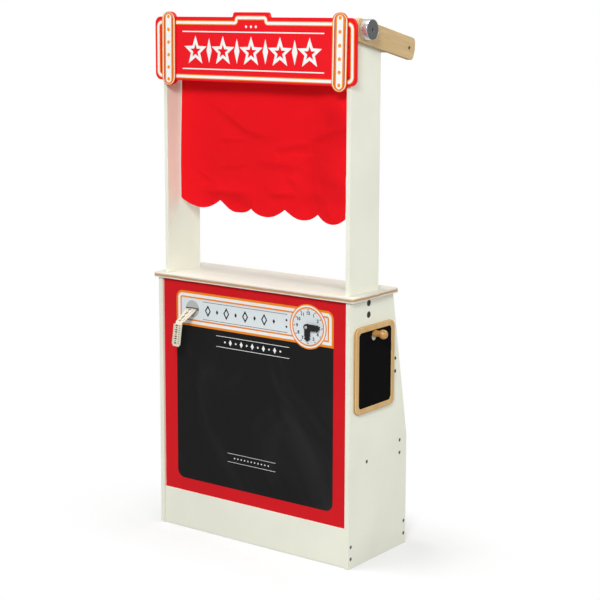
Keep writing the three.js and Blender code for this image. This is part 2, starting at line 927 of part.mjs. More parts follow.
mirrored.forEach((side) => addPiece(`arm_${sideName(side)}`, arm(side), plywood));
addPiece('arm_crossbar', armCrossbar(), paleWood);

// Clock hands on their pivot: spacer, hour hand, minute hand and the pivot's head lie in front of the panel
const spacerFrontY = panelFrontY - seatGap - spacerHeight;
const hourHandFrontY = spacerFrontY - seatGap - handThickness;
const minuteHandFrontY = hourHandFrontY - seatGap - handThickness;
const pivotHeadBackY = minuteHandFrontY - seatGap;
const clockPlace = (y) => at(clockX, y, clockZ);

function hand(length, frontFaceY, turn, notch) {
  const half = handWidth / 2;
  const neck = length - handTipLength;
  const outline = roundedPoints([
    [-half, -half, half],
    [neck, -half, 0],
    [neck + notch / 2, notch - half, 0],
    [neck + notch, -half, 0],
    [length, 0, handTipLength / 4],
    [neck + notch, half, 0],
    [neck + notch / 2, half - notch, 0],
    [neck, half, 0],
    [-half, half, half],
  ]);
  const center = new THREE.Vector2(clockX, clockZ);
  const points = outline.map((point) => point.clone().rotateAround(new THREE.Vector2(), turn).add(center));
  const blade = plate('y', points, frontFaceY, frontFaceY + handThickness);
  const bore = rod(pivotRadius + boreClearance, clockPlace(frontFaceY), axes.y, -overrun, handThickness + overrun);
  return blade.subtract(bore);
}

function clockPivot() {
  const tail = frontPanelBackY + seatGap;
  const profile = [
    [0, pivotHeadBackY - pivotHeadHeight],
    [pivotHeadRadius / 2, pivotHeadBackY - pivotHeadHeight],
    [pivotHeadRadius, pivotHeadBackY - pivotHeadHeight / 2],
    [pivotHeadRadius, pivotHeadBackY],
    [pivotRadius, pivotHeadBackY],
    [pivotRadius, tail],
    [pivotTailRadius, tail],
    [pivotTailRadius, tail + pivotTailHeight],
    [0, tail + pivotTailHeight],
  ];
  return turned(profile, clockPlace(0), axes.y, turnedSteps / 2);
}

function clockSpacer() {
  const ring = rod(spacerRadius, clockPlace(spacerFrontY), axes.y, 0, spacerHeight, turnedSteps / 2);
  const bore = rod(pivotRadius + boreClearance, clockPlace(spacerFrontY), axes.y, -overrun, spacerHeight + overrun);
  return ring.subtract(bore);
}

addPiece('clock_hour_hand', hand(hourHandLength, hourHandFrontY, -Math.PI / 2, arrowNotch), handBlack);
addPiece('clock_minute_hand', hand(minuteHandLength, minuteHandFrontY, 0, arrowNotch / 2), handBlack);
addPiece('clock_pivot', clockPivot(), brightMetal);
addPiece('clock_spacer', clockSpacer(), brightMetal);

// Tickets: a strip of paper leaves the roll's top, passes the slot and folds down outside
function ribbon(route, thickness) {
  const edges = mirrored.map((side) => route.map((point, i) => {
    const before = route[Math.max(i - 1, 0)];
    const after = route[Math.min(i + 1, route.length - 1)];
    const along = after.clone().sub(before).normalize();
    return new THREE.Vector2(-along.y, along.x).multiplyScalar(side * thickness / 2).add(point);
  }));
  return [...edges[0], ...edges[1].reverse()];
}

function ticketStrip() {
  const exit = new THREE.Vector2(panelFrontY - slotHeight, slotZ);
  const entry = new THREE.Vector2(frontPanelBackY + slotHeight, slotZ);
  const rollCenter = new THREE.Vector2(rollY, rollZ);
  const reach = rollPaperRadius + seatGap + stripPaperThickness / 2;
  const towards = entry.clone().sub(rollCenter);
  const turn = Math.acos(reach / towards.length());
  const touch = towards.clone().setLength(reach).rotateAround(new THREE.Vector2(), -turn).add(rollCenter);
  const corners = [touch, entry, exit];
  ticketReachShares.forEach(([out, down]) => {
    const last = corners[corners.length - 1];
    corners.push(new THREE.Vector2(last.x - out * ticketLength, last.y + down * ticketLength));
  });
  const rounded = roundedPoints(
    corners.map((corner, i) => [corner.x, corner.y, i % (corners.length - 1) ? ticketBendRadius : 0]),
    ticketBendSteps,
  );
  const half = stripPaperWidth / 2;
  return plate('x', ribbon(rounded, stripPaperThickness), slotX - half, slotX + half);
}

function ticketRoll() {
  const half = stripPaperWidth / 2;
  const place = at(slotX, rollY, rollZ);
  const bore = rod(rollBoreRadius, place, axes.x, -half - overrun, half + overrun, turnedSteps / 2);
  return rod(rollPaperRadius, place, axes.x, -half, half).subtract(bore);
}

function ticketRollPeg() {
  const start = -sideInnerX - rollPegSocket + boreClearance;
  const profile = [
    [0, start],
    [rollPegRadius, start],
    [rollPegRadius, rollPegEndX],
    [rollPegHeadRadius, rollPegEndX],
    [rollPegHeadRadius, rollPegEndX + rollPegHeadHeight],
    [0, rollPegEndX + rollPegHeadHeight],
  ];
  return turned(profile, at(0, rollY, rollZ), axes.x, turnedSteps / 2);
}

addPiece('ticket_strip', ticketStrip(), paper);
addPiece('ticket_roll', ticketRoll(), paper);
addPiece('ticket_roll_peg', ticketRollPeg(), paleWood);

// Hanging chalkboard: a frame with a rebated panel, hung by the panel's round hole on a knobbed peg
function boardRectangle(inset, radius) {
  const half = boardWidth / 2 - inset;
  return rectangle(pegY - half, boardTopZ - boardHeight + inset, pegY + half, boardTopZ - inset, radius);
}

function boardFrame() {
  const front = boardBackX + boardThickness;
  const ring = plate('x', boardRectangle(0, boardOuterRadius), boardBackX, front);
  const window = plate('x', boardRectangle(boardFrameBar, boardInnerRadius), boardBackX - overrun, front + overrun);
  const rebate = plate(
    'x',
    boardRectangle(boardFrameBar - boardRebate, boardInnerRadius + boardRebate),
    boardBackX - overrun,
    front - boardLipThickness,
  );
  return cut(ring, [window, rebate]);
}

function boardPanel() {
  const outline = boardRectangle(
    boardFrameBar - boardRebate + seatGap,
    boardInnerRadius + boardRebate - seatGap,
  );
  const panelFront = boardBackX + boardThickness - boardLipThickness - seatGap;
  const panel = plate('x', outline, panelFront - boardPanelThickness, panelFront);
  const hole = rod(boardHoleRadius, at(panelFront, pegY, holeZ), axes.x, -boardPanelThickness - overrun, overrun);
  return panel.subtract(hole);
}

function hangingPeg() {
  const start = seatGap - pegSocketDepth;
  const ballTurns = turnedSteps / 4;
  const neckTurn = Math.asin(pegNeckRadius / pegBallRadius);
  const profile = [
    [0, start],
    [pegShaftRadius, start],
    [pegShaftRadius, boardThickness + seatGap],
  ];
  for (let step = 0; step <= ballTurns; step += 1) {
    const angle = Math.PI - neckTurn - (Math.PI - neckTurn) * step / ballTurns;
    profile.push([pegBallRadius * Math.sin(angle), pegBallReach - pegBallRadius * Math.cos(Math.PI - angle)]);
  }
  return turned(profile, at(sideOuterX, pegY, pegZ), axes.x, turnedSteps - turnedSteps / 4);
}

addPiece('hanging_board_frame', boardFrame(), plywood);
addPiece('hanging_board_panel', boardPanel(), chalkBlack);
addPiece('hanging_peg', hangingPeg(), honeyWood);

// Fasteners that have a node of their own
function addEach(prefix, places, make, material) {
  places.forEach((seat, i) => addPiece(`${prefix}_${i + 1}`, make(seat), material));
}

const screwOf = (size) => ({ place, direction }) => screw(size, place, direction);
addEach('sign_screw', signScrews, screwOf(signScrew), steel);
addEach('knob_screw', knobScrews, screwOf(knobScrew), steel);
addEach('arm_screw', armScrews, screwOf(panelScrew), steel);
addEach('post_bolt', boltPlaces, bolt, steel);
addEach('post_bolt_nut', boltPlaces, nut, steel);
addEach('wooden_dowel', dowels, dowel, paleWood);

export default theatre;
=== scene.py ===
import json
import math

import bmesh
import bpy
from mathutils import Matrix, Vector, noise


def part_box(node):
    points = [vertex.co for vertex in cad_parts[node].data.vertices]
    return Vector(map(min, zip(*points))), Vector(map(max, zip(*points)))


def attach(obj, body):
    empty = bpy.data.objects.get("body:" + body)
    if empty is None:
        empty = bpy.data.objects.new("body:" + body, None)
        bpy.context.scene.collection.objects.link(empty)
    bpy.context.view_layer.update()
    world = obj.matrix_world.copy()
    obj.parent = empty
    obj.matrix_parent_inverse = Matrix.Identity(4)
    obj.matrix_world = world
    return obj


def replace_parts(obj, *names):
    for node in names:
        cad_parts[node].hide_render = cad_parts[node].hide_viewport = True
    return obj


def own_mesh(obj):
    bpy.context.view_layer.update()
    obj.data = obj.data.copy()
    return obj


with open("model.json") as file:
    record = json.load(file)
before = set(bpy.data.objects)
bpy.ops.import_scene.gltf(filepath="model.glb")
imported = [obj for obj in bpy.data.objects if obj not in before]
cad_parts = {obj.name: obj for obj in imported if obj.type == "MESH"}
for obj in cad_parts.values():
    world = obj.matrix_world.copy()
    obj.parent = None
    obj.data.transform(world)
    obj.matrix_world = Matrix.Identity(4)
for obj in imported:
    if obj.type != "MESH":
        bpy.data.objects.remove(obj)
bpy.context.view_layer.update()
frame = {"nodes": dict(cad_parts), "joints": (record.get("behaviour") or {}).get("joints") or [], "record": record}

# Units: sizes below are in millimetres, in the part's own frame, and every mesh is built in metres
MM = 0.001

RECORD = frame["record"]
BODY_OF = {node: body for body, nodes in RECORD["behaviour"]["bodies"].items() for node in nodes}
SLOT_OF = {row["node"]: row["material_slot"] for row in RECORD["subparts"]}
PIVOTS = {joint["name"]: Vector(joint["pos_m"]) for joint in frame["joints"] if "pos_m" in joint}
SIDES = {"left": -1, "right": 1}


def extent(node):
    """A node's lowest and highest corners, in millimetres."""
    low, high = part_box(node)
    return Vector(low) / MM, Vector(high) / MM


# The camera that the photograph was taken with, fitted to the printed size
CAMERA_PLACE = (1.88562, -2.36895, 1.06962)
CAMERA_YAW = 0.64133
CAMERA_PITCH = -0.15343
CAMERA_ROLL = 0.00293
CAMERA_LENS = 93.7265
SENSOR = 36.0
PHOTO_SIZE = 600
VIEW_CENTER = (300.45, 248.89)


def add_camera():
    data = bpy.data.cameras.new("camera")
    data.sensor_width = SENSOR
    data.sensor_fit = "AUTO"
    data.lens = CAMERA_LENS
    data.shift_x = (PHOTO_SIZE / 2 - VIEW_CENTER[0]) / PHOTO_SIZE
    data.shift_y = (VIEW_CENTER[1] - PHOTO_SIZE / 2) / PHOTO_SIZE
    data.clip_start = 0.1
    data.clip_end = 50
    camera = bpy.data.objects.new("camera", data)
    bpy.context.collection.objects.link(camera)
    turn = Matrix.Rotation(CAMERA_YAW, 4, "Z") @ Matrix.Rotation(math.pi / 2 + CAMERA_PITCH, 4, "X")
    camera.matrix_world = Matrix.Translation(CAMERA_PLACE) @ turn @ Matrix.Rotation(CAMERA_ROLL, 4, "Z")
    bpy.context.scene.camera = camera


# Materials


class Nodes:
    """Short calls that add nodes to a tree and feed them."""

    def __init__(self, tree):
        self.tree = tree

    def add(self, kind, **settings):
        """A node with its settings. A name with a capital, such as To_Min, is one of its inputs."""
        node = self.tree.nodes.new(kind)
        for key, value in settings.items():
            if key[0].isupper():
                self.feed(node.inputs[key.replace("_", " ")], value)
            else:
                setattr(node, key, value)
        return node

    def feed(self, socket, value):
        if isinstance(value, bpy.types.NodeSocket):
            self.tree.links.new(value, socket)
        else:
            socket.default_value = value

    def mix(self, share, first, second):
        """A shader that turns into another as the share grows."""
        node = self.add("ShaderNodeMixShader")
        for socket, value in zip(node.inputs, (share, first, second)):
            self.feed(socket, value)
        return node.outputs[0]


class Finish(Nodes):
    """A material on a Principled shader, with short calls for the patterns that feed it."""

    def __init__(self, name, **constants):
        self.material = bpy.data.materials.new(name)
        self.material.use_nodes = True
        super().__init__(self.material.node_tree)
        self.shader = self.tree.nodes["Principled BSDF"]
        for socket, value in constants.items():
            self.feed(self.shader.inputs[socket.replace("_", " ")], value)

    def place(self, scale=(1, 1, 1), turn=(0, 0, 0)):
        """The piece's own coordinates in metres, turned and then scaled."""
        source = self.add("ShaderNodeTexCoord").outputs["Object"]
        turned_place = self.add("ShaderNodeMapping", Vector=source, Rotation=turn).outputs["Vector"]
        return self.add("ShaderNodeMapping", Vector=turned_place, Scale=scale).outputs["Vector"]

    def grain(self, size, scale=(1, 1, 1), turn=(0, 0, 0), detail=3.0, roughness=0.5, distortion=0.0):
        """Noise whose features are about size millimetres across, squeezed along each axis by scale."""
        return self.add(
            "ShaderNodeTexNoise", Vector=self.place(scale, turn), Scale=1 / (size * MM), Detail=detail,
            Roughness=roughness, Distortion=distortion,
        ).outputs["Fac"]

    def threads(self, size, axis):
        """Even bands across an axis, each size millimetres wide."""
        return self.add(
            "ShaderNodeTexWave", bands_direction=axis, Vector=self.place(), Scale=math.pi / (10 * size * MM),
            Distortion=0.4, Detail=1.0,
        ).outputs["Fac"]

    def part(self, axis, source="Normal"):
        """One component of the piece's own normal or place."""
        split = self.add("ShaderNodeSeparateXYZ", Vector=self.add("ShaderNodeTexCoord").outputs[source])
        return split.outputs[axis]

    def math(self, operation, first, second=0.0):
        node = self.add("ShaderNodeMath", operation=operation)
        self.feed(node.inputs[0], first)
        self.feed(node.inputs[1], second)
        return node.outputs[0]

    def spread(self, value, low, high, to_low=0.0, to_high=1.0):
        """A value from low to high, spread from to_low to to_high."""
        return self.add(
            "ShaderNodeMapRange", Value=value, From_Min=low, From_Max=high, To_Min=to_low, To_Max=to_high
        ).outputs["Result"]

    def blend(self, share, first, second):
        """A colour that turns into another as the share grows."""
        node = self.add("ShaderNodeMix", data_type="RGBA")
        self.feed(node.inputs[0], share)
        for socket, color in ((node.inputs[6], first), (node.inputs[7], second)):
            self.feed(socket, color if isinstance(color, bpy.types.NodeSocket) else (*color, 1))
        return node.outputs[2]

    def tint(self, value, low, high, color, darker, lighter):
        """Shades of a colour that follow a value from low to high."""
        return self.blend(self.spread(value, low, high), shade(color, darker), shade(color, lighter))

    def gloss(self, value, roughness, less, more):
        """Roughness that varies round its middle value."""
        return self.spread(value, 0.3, 0.7, roughness - less, roughness + more)

    def bump(self, height, depth, below=None):
        """A relief of so many millimetres, over another one if below is given."""
        node = self.add("ShaderNodeBump", Strength=1.0, Distance=depth * MM, Height=height)
        if below is not None:
            self.feed(node.inputs["Normal"], below)
        return node.outputs["Normal"]

    def finish(self, color, normal, roughness=None):
        self.feed(self.shader.inputs["Base Color"], color)
        self.feed(self.shader.inputs["Normal"], normal)
        if roughness is not None:
            self.feed(self.shader.inputs["Roughness"], roughness)
        return self.material


def shade(color, factor):
    return tuple(min(1.0, channel * factor) for channel in color)


def paint_finish(name, color, roughness=0.38, shine=0.25):
    """Sprayed satin paint: a fine orange peel, faint cloudiness and uneven gloss."""
    paint = Finish(name, Specular_IOR_Level=shine)
    tone = paint.tint(paint.grain(120, detail=2.0), 0.3, 0.7, color, 0.97, 1.03)
    peel = paint.bump(paint.grain(1.4, detail=2.0), 0.02)
    return paint.finish(tone, peel, paint.gloss(paint.grain(30), roughness, 0.05, 0.06))


def ink_finish(name, color):
    """Screen-printed ink: nearly flat, with a faint speckle of the screen."""
    ink = Finish(name, Specular_IOR_Level=0.15)
    speckle = ink.grain(0.9, detail=2.0)
    tone = ink.tint(speckle, 0.35, 0.65, color, 0.965, 1.02)
    return ink.finish(tone, ink.bump(speckle, 0.008), ink.gloss(ink.grain(60, detail=2.0), 0.42, 0.05, 0.05))


GRAIN_TURNS = {"X": (0, 0, 0), "Y": (0, 0, math.pi / 2), "Z": (0, math.pi / 2, 0)}


def wood_nodes(wood, light, dark, axis, tilt=0.0, scale=1.0):
    """Long grain along an axis: returns the colour and the height of its fibres."""
    turn = Vector(GRAIN_TURNS[axis]) + Vector((tilt, 0, 0))
    bands = wood.grain(26 * scale, (0.10, 1, 1), turn, detail=4.0, roughness=0.55, distortion=0.6)
    fibres = wood.grain(2.2 * scale, (0.03, 1, 1), turn, detail=4.0, roughness=0.65)
    pores = wood.grain(0.9 * scale, (0.05, 1, 1), turn, detail=2.0)
    tone = wood.blend(wood.spread(bands, 0.35, 0.68), light, dark)
    tone = wood.blend(wood.spread(fibres, 0.42, 0.72, 0.0, 0.55), tone, shade(dark, 0.86))
    tone = wood.blend(wood.spread(pores, 0.60, 0.75, 0.0, 0.35), tone, shade(dark, 0.62))
    return tone, fibres


def plywood_finish(name, node, layer_axis, grain_axis, plies, light, dark, tilt=0.0, core=None):
    """Plywood: long grain on its faces, alternating plies on its edges, the second one darker."""
    low, high = (corner["XYZ".index(layer_axis)] * MM for corner in extent(node))
    core = core or shade(dark, 0.72)
    wood = Finish(name, Specular_IOR_Level=0.35)
    face, fibres = wood_nodes(wood, light, dark, grain_axis, tilt)
    depth = wood.math("ABSOLUTE", wood.math("SUBTRACT", wood.part(layer_axis, "Object"), low))
    layer = wood.math("MULTIPLY", depth, (plies - 1) / (high - low))
    wobble = wood.spread(wood.grain(6, (0.2, 0.2, 0.2)), 0.3, 0.7, -0.12, 0.12)
    odd = wood.math("PINGPONG", wood.math("ADD", layer, wobble), 1.0)
    speck = wood.spread(wood.grain(0.8, detail=2.0), 0.35, 0.7)
    end = wood.blend(speck, shade(core, 0.86), shade(core, 1.14))
    side = wood.blend(speck, shade(light, 0.94), shade(light, 1.03))
    edge = wood.blend(wood.spread(odd, 0.42, 0.58), side, end)
    flat = wood.spread(wood.math("ABSOLUTE", wood.part(layer_axis)), 0.75, 0.9)
    gloss = wood.spread(fibres, 0.3, 0.7, 0.42, 0.55)
    return wood.finish(wood.blend(flat, edge, face), wood.bump(fibres, 0.03), gloss)


def solid_wood_finish(name, light, dark, roughness=0.45, coat=0.0):
    """Wood with its grain along the piece, lacquered where it has a coat."""
    wood = Finish(name, Specular_IOR_Level=0.4, Coat_Weight=coat, Coat_Roughness=0.2)
    color, fibres = wood_nodes(wood, light, dark, "X", scale=0.6)
    return wood.finish(color, wood.bump(fibres, 0.03), wood.gloss(fibres, roughness, 0.06, 0.08))


def metal_finish(name, color, roughness, brushing=(1, 1, 1), metallic=1.0):
    """Metal with fine marks, drawn out where brushing squeezes an axis."""
    metal = Finish(name, Metallic=metallic)
    marks = metal.grain(0.5, brushing, roughness=0.6)
    tone = metal.tint(marks, 0.3, 0.7, color, 0.93, 1.04)
    return metal.finish(tone, metal.bump(marks, 0.01), metal.gloss(marks, roughness, 0.05, 0.1))


def matt_finish(name, color, roughness=0.6):
    """Fine-grained moulded or sprayed surface."""
    matt = Finish(name, Specular_IOR_Level=0.35)
    speckle = matt.grain(0.6)
    tone = matt.tint(speckle, 0.3, 0.7, color, 0.85, 1.15)
    return matt.finish(tone, matt.bump(speckle, 0.02), matt.gloss(matt.grain(12), roughness, 0.06, 0.06))


def chalkboard_finish(name, black=(0.0118, 0.0113, 0.0115), chalk=0.30, shine=0.08):
    """Matt black paint with the faint haze that wiped chalk leaves."""
    board = Finish(name, Specular_IOR_Level=shine)
    haze = board.grain(140, (1, 1, 0.55), (0, 0.5, 0), detail=5.0, roughness=0.62, distortion=0.8)
    tooth = board.grain(0.7, detail=2.0)
    tone = board.blend(board.spread(haze, 0.48, 0.80, 0.0, chalk), black, (0.055, 0.055, 0.056))
    tone = board.blend(board.spread(tooth, 0.45, 0.8, 0.0, 0.22), tone, shade(black, 2.4))
    return board.finish(tone, board.bump(tooth, 0.03), board.spread(haze, 0.3, 0.7, 0.5, 0.62))


def cloth_finish(name, color):
    """Plain woven cotton, with soft creases finer than the mesh."""
    cloth = Finish(name, Specular_IOR_Level=0.05, Roughness=0.85)
    weave = cloth.math("MULTIPLY", cloth.threads(0.55, "X"), cloth.threads(0.55, "Z"))
    slub = cloth.grain(7, (1, 1, 0.15))
    crumple = cloth.grain(38, detail=4.0, roughness=0.55, distortion=0.5)
    tone = cloth.tint(weave, 0.0, 0.9, color, 0.90, 1.03)
    tone = cloth.blend(cloth.spread(slub, 0.35, 0.7, 0.0, 0.35), tone, shade(color, 0.93))
    return cloth.finish(tone, cloth.bump(weave, 0.10, cloth.bump(crumple, 1.1)))


def paper_finish(name, color):
    """Uncoated paper with a fine pulp."""
    paper = Finish(name, Specular_IOR_Level=0.25, Roughness=0.75)
    pulp = paper.grain(1.1, detail=4.0, roughness=0.6)
    return paper.finish(paper.tint(pulp, 0.3, 0.7, color, 0.94, 1.02), paper.bump(pulp, 0.02))


INKS = {
    "orange_ink": (0.84, 0.25, 0.018),
    "white_ink": (0.86, 0.88, 0.86),
    "pale_blue_ink": (0.74, 0.80, 0.82),
    "black_ink": (0.012, 0.012, 0.013),
    "grey_ink": (0.47, 0.49, 0.49),
    "cream_ink": (0.88, 0.83, 0.68),
    "dark_red_ink": (0.42, 0.018, 0.035),
    "bulb_ink": (0.88, 0.29, 0.014),
}
PLY = ((0.69, 0.515, 0.28), (0.55, 0.37, 0.165))
COUNTER_PLY = ((0.74, 0.71, 0.64), (0.71, 0.67, 0.58))
COUNTER_CORE = (0.50, 0.31, 0.15)
FRAME_PLY = ((0.72, 0.48, 0.215), (0.60, 0.36, 0.135))
ARM_TILT = math.radians(12.2)

FINISHES = {name: ink_finish(name, color) for name, color in INKS.items()}
FINISHES.update({
    "cream": paint_finish("cream_paint", (0.83, 0.84, 0.72)),
    "red": paint_finish("red_paint", (0.64, 0.0095, 0.0155), 0.4, 0.1),
    "sign_red": paint_finish("sign_red_paint", (0.82, 0.011, 0.018), 0.4, 0.1),
    # Red edge paint of the bulb strips, darker than the sign's red: partly their real red paint, partly painted
    # shade on their side faces
    "strip_edge_and_shade": paint_finish("strip_edge_paint_and_shade", (0.52, 0.008, 0.014), shine=0.1),
    "chalk_black": chalkboard_finish("chalkboard_paint"),
    "slate_black": chalkboard_finish("hanging_board_paint", (0.0040, 0.0038, 0.0040), 0.05, 0.02),
    "counter": plywood_finish("counter_plywood", "counter_top", "Z", "X", 3, *COUNTER_PLY, core=COUNTER_CORE),
    "arm": plywood_finish("arm_plywood", "arm_right", "X", "Y", 5, *PLY, ARM_TILT),
    "board_frame": plywood_finish("board_frame_plywood", "hanging_board_frame", "X", "Z", 3, *FRAME_PLY),
    "pale_wood": solid_wood_finish("pale_beech", (0.66, 0.50, 0.32), (0.55, 0.38, 0.21)),
    "honey_wood": solid_wood_finish("honey_wood", (0.62, 0.34, 0.11), (0.46, 0.22, 0.055), 0.28, 0.7),
    "bright_metal": metal_finish("polished_aluminium", (0.78, 0.79, 0.80), 0.24, (0.03, 1, 1), 0.8),
    "screw_steel": metal_finish("bright_zinc", (0.10, 0.10, 0.11), 0.30),
    "steel": metal_finish("dark_zinc", (0.13, 0.115, 0.105), 0.40),
    "dark_grey": matt_finish("dark_grey_face", (0.105, 0.108, 0.108)),
    "hand_black": matt_finish("hand_black", (0.013, 0.013, 0.014), 0.45),
    "red_cloth": cloth_finish("red_cotton", (0.91, 0.0085, 0.015)),
    "paper": paper_finish("ticket_paper", (0.72, 0.68, 0.54)),
})
# The finishes of the slots that have another name than their finish
SLOT_FINISHES = {
    "cream_paint": "cream",
    "printed_panel": "red",
    "printed_sign": "sign_red",
    "red_paint": "red",
    "bulb_strip_print": "strip_edge_and_shade",
    "plywood": "arm",
}


def finish_of(slot):
    return FINISHES[SLOT_FINISHES.get(slot, slot)]


def coat_cad_nodes():
    """Every carried-over CAD node takes the finish of its slot."""
    for name, node in frame["nodes"].items():
        for place in node.material_slots:
            place.material = finish_of(SLOT_OF[name])


# Building blocks

SMOOTH_ANGLE = math.radians(38)
TURNED_ANGLE = math.radians(32)
FLAT_ANGLE = math.radians(0.6)
MERGE = 1e-6
EDGE_SEGMENTS = 3


def add_piece(name, mesh, node, finish=None, slot=None):
    """A piece on a CAD node's body, with the node's slot and finish where no others are given."""
    slot = slot or SLOT_OF[node]
    piece = bpy.data.objects.new(name, mesh)
    bpy.context.collection.objects.link(piece)
    mesh.materials.clear()
    mesh.materials.append(FINISHES[finish] if finish else finish_of(slot))
    body = BODY_OF[node]
    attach(piece, body)
    return piece


def new_piece(name, points, faces, node, finish=None):
    mesh = bpy.data.meshes.new(name)
    mesh.from_pydata([tuple(point) for point in points], [], faces)
    mesh.validate()
    return add_piece(name, mesh, node, finish)


def smooth(piece, angle=SMOOTH_ANGLE):
    piece.data.shade_smooth()
    piece.data.set_sharp_from_angle(angle=angle)
    return piece


def soften(piece, width):
    """Rounds the piece's edges by a small width and keeps its flat faces flat in the light."""
    piece.data.shade_smooth()
    bevel = piece.modifiers.new("edges", "BEVEL")
    bevel.width = width * MM
    bevel.segments = EDGE_SEGMENTS
    bevel.limit_method = "ANGLE"
    bevel.angle_limit = SMOOTH_ANGLE
    bevel.use_clamp_overlap = True
    bevel.miter_outer = "MITER_ARC"
    weighted = piece.modifiers.new("normals", "WEIGHTED_NORMAL")
    weighted.keep_sharp = True
    weighted.weight = 100


def trim_ends(mesh, end):
    """Cuts a mesh back to an x on both sides and closes it."""
    for side in SIDES.values():
        bmesh.ops.bisect_plane(
            mesh,
            geom=mesh.verts[:] + mesh.edges[:] + mesh.faces[:],
            dist=MERGE,
            plane_co=(side * end * MM, 0, 0),
            plane_no=(side, 0, 0),
            clear_outer=True,
        )
    rims = [edge for edge in mesh.edges if edge.is_boundary]
    bmesh.ops.holes_fill(mesh, edges=rims, sides=0)


def dress(node, width, finish=None, trim=None):
    """A copy of a CAD node with rounded edges, which stands for it. trim cuts its ends back to an x."""
    source = bmesh.new()
    source.from_mesh(frame["nodes"][node].data)
    bmesh.ops.remove_doubles(source, verts=source.verts, dist=MERGE)
    if trim is not None:
        trim_ends(source, trim)
    bmesh.ops.dissolve_limit(source, angle_limit=FLAT_ANGLE, verts=source.verts, edges=source.edges)
    bmesh.ops.recalc_face_normals(source, faces=source.faces)
    source.verts.index_update()
    points = [vert.co.copy() for vert in source.verts]
    faces = [[vert.index for vert in face.verts] for face in source.faces]
    source.free()
    piece = new_piece(f"{node}_dressed", points, faces, node, finish)
    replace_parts(piece, node)
    soften(piece, width)


def turned(name, profile, place, axis, node, finish=None, slot=None, segments=96):
    """A turned piece: a closed profile of (radius, distance) along an axis from a place."""
    direction = Vector(axis).normalized()
    across = direction.orthogonal().normalized()
    other = direction.cross(across)
    mesh = bmesh.new()
    verts = []
    for step in range(segments):
        angle = math.tau * step / segments
        spoke = across * math.cos(angle) + other * math.sin(angle)
        for radius, distance in profile:
            verts.append(mesh.verts.new((Vector(place) + direction * distance + spoke * radius) * MM))
    count = len(profile)
    for step in range(segments):
        here = step * count
        there = (step + 1) % segments * count
        for i in range(count - 1):
            mesh.faces.new([verts[here + i], verts[here + i + 1], verts[there + i + 1], verts[there + i]])
    bmesh.ops.remove_doubles(mesh, verts=mesh.verts, dist=MERGE)
    bmesh.ops.dissolve_degenerate(mesh, edges=mesh.edges, dist=MERGE / 10)
    bmesh.ops.recalc_face_normals(mesh, faces=mesh.faces)
    data = bpy.data.meshes.new(name)
    mesh.to_mesh(data)
    mesh.free()
    return smooth(add_piece(name, data, node, finish, slot), TURNED_ANGLE)


def rounded(corners, steps=8):
    """Points of an outline whose corners, given as (across, up, radius), are rounded by arcs."""
    points = []
    for i, (x, y, radius) in enumerate(corners):
        corner = Vector((x, y))
        if radius <= 0:
            points.append(corner)
            continue
        back = (Vector(corners[i - 1][:2]) - corner).normalized()
        ahead = (Vector(corners[(i + 1) % len(corners)][:2]) - corner).normalized()
        half = back.angle(ahead) / 2
        reach = radius / math.tan(half)
        center = corner + (back + ahead).normalized() * radius / math.sin(half)
        start = corner + back * reach - center
        end = corner + ahead * reach - center
        sweep = math.atan2(start.x * end.y - start.y * end.x, start.dot(end))
        points += [center + Matrix.Rotation(sweep * step / steps, 2) @ start for step in range(steps + 1)]
    return points


def rounded_line(corners, radius, steps=4):
    """An open line whose inner corners are rounded by one small radius."""
    ends = (0, len(corners) - 1)
    return rounded([(*corner, 0 if i in ends else radius) for i, corner in enumerate(corners)], steps)


def rectangle(left, bottom, right, top, radius=0.0, top_radius=None):
    upper = radius if top_radius is None else top_radius
    return rounded([(left, bottom, radius), (right, bottom, radius), (right, top, upper), (left, top, upper)])


def polar(x, y, radius, angle):
    return Vector((x + radius * math.cos(angle), y + radius * math.sin(angle)))


def circle(x, y, radius, steps=96):
    return [polar(x, y, radius, math.tau * i / steps) for i in range(steps)]


def ring(x, y, outer, inner):
    return [circle(x, y, outer), circle(x, y, inner)]


def lozenge(x, y, wide, tall):
    return [Vector((x - wide, y)), Vector((x, y - tall)), Vector((x + wide, y)), Vector((x, y + tall))]


def star(x, y, radius):
    waist = radius * 0.42
    return [polar(x, y, waist if i % 2 else radius, math.pi / 2 + math.pi * i / 5) for i in range(10)]


def rules(left, right, half, heights, radius=0.0):
    """Level bars, one at each height."""
    return [rectangle(left, z - half, right, z + half, radius) for z in heights]


# Prints and flat pieces: outlines with holes, drawn as the audience sees them

INK = 0.08
INK_STEP = 0.09
FACING_FRONT = Matrix(((1, 0, 0, 0), (0, 0, -1, 0), (0, 1, 0, 0), (0, 0, 0, 1)))


def filled(curve, lift):
    """A flat curve or text as a mesh that faces the audience, lifted towards them from y = 0."""
    holder = bpy.data.objects.new("film", curve)
    bpy.context.collection.objects.link(holder)
    bpy.context.view_layer.update()
    shown = holder.evaluated_get(bpy.context.evaluated_depsgraph_get())
    mesh = bpy.data.meshes.new_from_object(shown)
    bpy.data.objects.remove(holder)
    mesh.transform(FACING_FRONT @ Matrix.Translation((0, 0, lift * MM)))
    return mesh


def film(loops, lift, thickness=INK):
    """A flat filled mesh whose loops are in millimetres. Loops inside others are holes."""
    curve = bpy.data.curves.new("film", "CURVE")
    curve.dimensions = "2D"
    curve.fill_mode = "BOTH"
    curve.extrude = thickness / 2 * MM
    for loop in loops:
        spline = curve.splines.new("POLY")
        spline.points.add(len(loop) - 1)
        for point, (x, y) in zip(spline.points, loop):
            point.co = (x * MM, y * MM, 0, 1)
        spline.use_cyclic_u = True
    return filled(curve, lift)


def printed(name, loops, finish, level, node):
    """A print on a node's front face, so many films above it."""
    add_piece(name, film(loops, level * INK_STEP - extent(node)[0].y), node, finish)


def cut_out(name, loops, node):
    """A flat piece as thick as the CAD node that it stands for."""
    low, high = extent(node)
    piece = add_piece(name, film(loops, -(low.y + high.y) / 2, high.y - low.y), node)
    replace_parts(piece, node)
    return piece


# Sign: a bordered stripe round it, two rules and a row of stars in the middle

